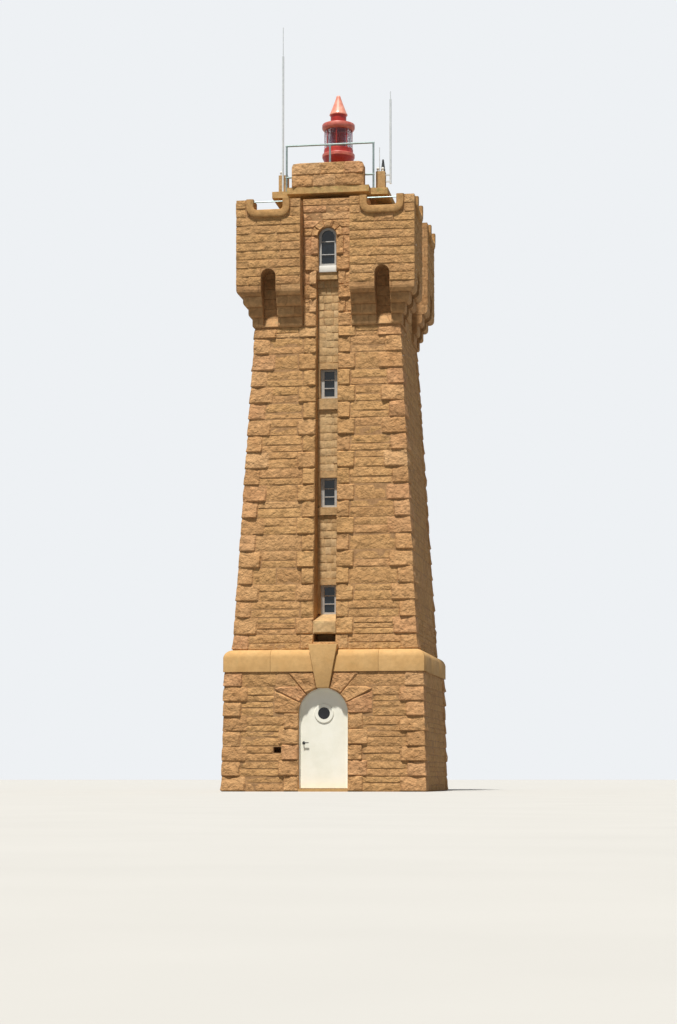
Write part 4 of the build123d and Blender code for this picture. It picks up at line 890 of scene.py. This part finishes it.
# Materials of the CAD nodes that stay, by the start of their names
nodeLooks = {
    "limeMortar": ("base_", "shaft_", "crown_bay", "door_jambs", "door_arch"),
    "paleMortar": ("strip_panels",),
    "dressedGranite": ("door_threshold",),
    "paleGranite": ("window_surrounds", "window_sills", "antenna_posts"),
    "corbelGranite": ("crown_corner", "platform_core"),
    "slabGranite": ("room_floors", "terrace_floor", "platform_slab"),
    "whiteDoorPaint": ("door_leaf", "door_frame", "door_porthole_ring"),
    "greyWindowPaint": ("window_frames",),
    "portholeGlass": ("door_porthole_glass",),
    "windowGlass": ("window_glass",),
    "blackIron": ("door_handle", "door_straps", "door_pintles", "weather_instrument"),
    "galvanisedSteel": ("crenel_bars", "platform_railing"),
    "glassFibre": ("antenna_whips",),
    "redEnamel": ("lantern_bars",),
}
allLooks = {**graniteOf, **coatOf, **glassOf}
for look, starts in nodeLooks.items():
    for name, piece in nodes.items():
        if name.startswith(starts):
            piece.material_slots[0].material = allLooks[look]
print("materials set")

# Studio: pale floor, soft sun from high on the left, even sky
studio = {"sunTurn": 9.5, "sunHeight": 67, "sun": 5.2, "sunSize": 3.5, "sunColor": (1.0, 0.97, 0.92),
          "sky": 0.2, "skyColor": (0.95, 0.97, 1.0, 1.0), "backdrop": "#eef1f4", "floorReach": 160,
          "floor": "#84837f", "floorSeen": ("#b8b7b3", "#bcbbb7")}


def seenDirectly(tree):  # 1 for what the camera, a shiny surface or glass shows, 0 for what lights the tower
    path = addNode(tree, "ShaderNodeLightPath").outputs
    seen = addNode(tree, "ShaderNodeMath", operation="MAXIMUM",
                   links={0: path["Is Camera Ray"], 1: path["Is Glossy Ray"]})
    return addNode(tree, "ShaderNodeMath", operation="MAXIMUM",
                   links={0: seen.outputs[0], 1: path["Is Transmission Ray"]}).outputs[0]


bm = bmesh.new()
bmesh.ops.create_circle(bm, cap_ends=True, segments=64, radius=studio["floorReach"])
mesh = meshOf(bm, "studioFloor")
material, tree, spot = startMaterial("paleFloor")
dust = addNode(tree, "ShaderNodeTexNoise", {"Scale": 0.8, "Detail": 3.0}, {"Vector": spot})
shade = addNode(tree, "ShaderNodeValToRGB", links={"Fac": dust.outputs["Fac"]},
                stops=zip((0.3, 0.7), studio["floorSeen"]))
color = addNode(tree, "ShaderNodeMix", {"A": hexColor(studio["floor"])}, data_type="RGBA",
                links={"Factor": seenDirectly(tree), "B": shade.outputs["Color"]})
finishMaterial(tree, addNode(tree, "ShaderNodeBsdfPrincipled", {"Roughness": 0.9},
                             {"Base Color": color.outputs["Result"]}))
mesh.materials.append(material)
addObject("studioFloor", mesh)

world = bpy.data.worlds.new("studioSky")
world.use_nodes = True
bpy.context.scene.world = world
tree = world.node_tree
tree.nodes.clear()
light = addNode(tree, "ShaderNodeBackground", {"Color": studio["skyColor"], "Strength": studio["sky"]})
back = addNode(tree, "ShaderNodeBackground", {"Color": hexColor(studio["backdrop"]), "Strength": 1.0})
mix = addNode(tree, "ShaderNodeMixShader",
              links={0: seenDirectly(tree), 1: light.outputs[0], 2: back.outputs[0]})
addNode(tree, "ShaderNodeOutputWorld", links={"Surface": mix.outputs[0]})

sun = bpy.data.lights.new("keySun", "SUN")
sun.energy, sun.angle, sun.color = studio["sun"], radians(studio["sunSize"]), studio["sunColor"]
lamp = addObject("keySun", sun)
turn, lift = radians(studio["sunTurn"]), radians(studio["sunHeight"])
towardsSun = Vector((-sin(turn) * cos(lift), -cos(turn) * cos(lift), sin(lift)))
lamp.rotation_euler = towardsSun.to_track_quat("Z", "Y").to_euler()

# Camera: the photograph's viewing angle
camera = {"place": (6.97, -45.12, 0.3), "lens": 76.4, "sensor": 36.0, "pitch": 4.0, "shift": 0.11,
          "reach": 600}
eye = bpy.data.cameras.new("photoCamera")
eye.lens, eye.sensor_width, eye.shift_y = camera["lens"], camera["sensor"], camera["shift"]
eye.clip_end = camera["reach"]
view = addObject("photoCamera", eye)
view.location = camera["place"]
view.rotation_euler = (radians(90 + camera["pitch"]), 0, atan2(camera["place"][0], -camera["place"][1]))
bpy.context.scene.camera = view
bpy.context.scene.view_settings.view_transform = "Standard"
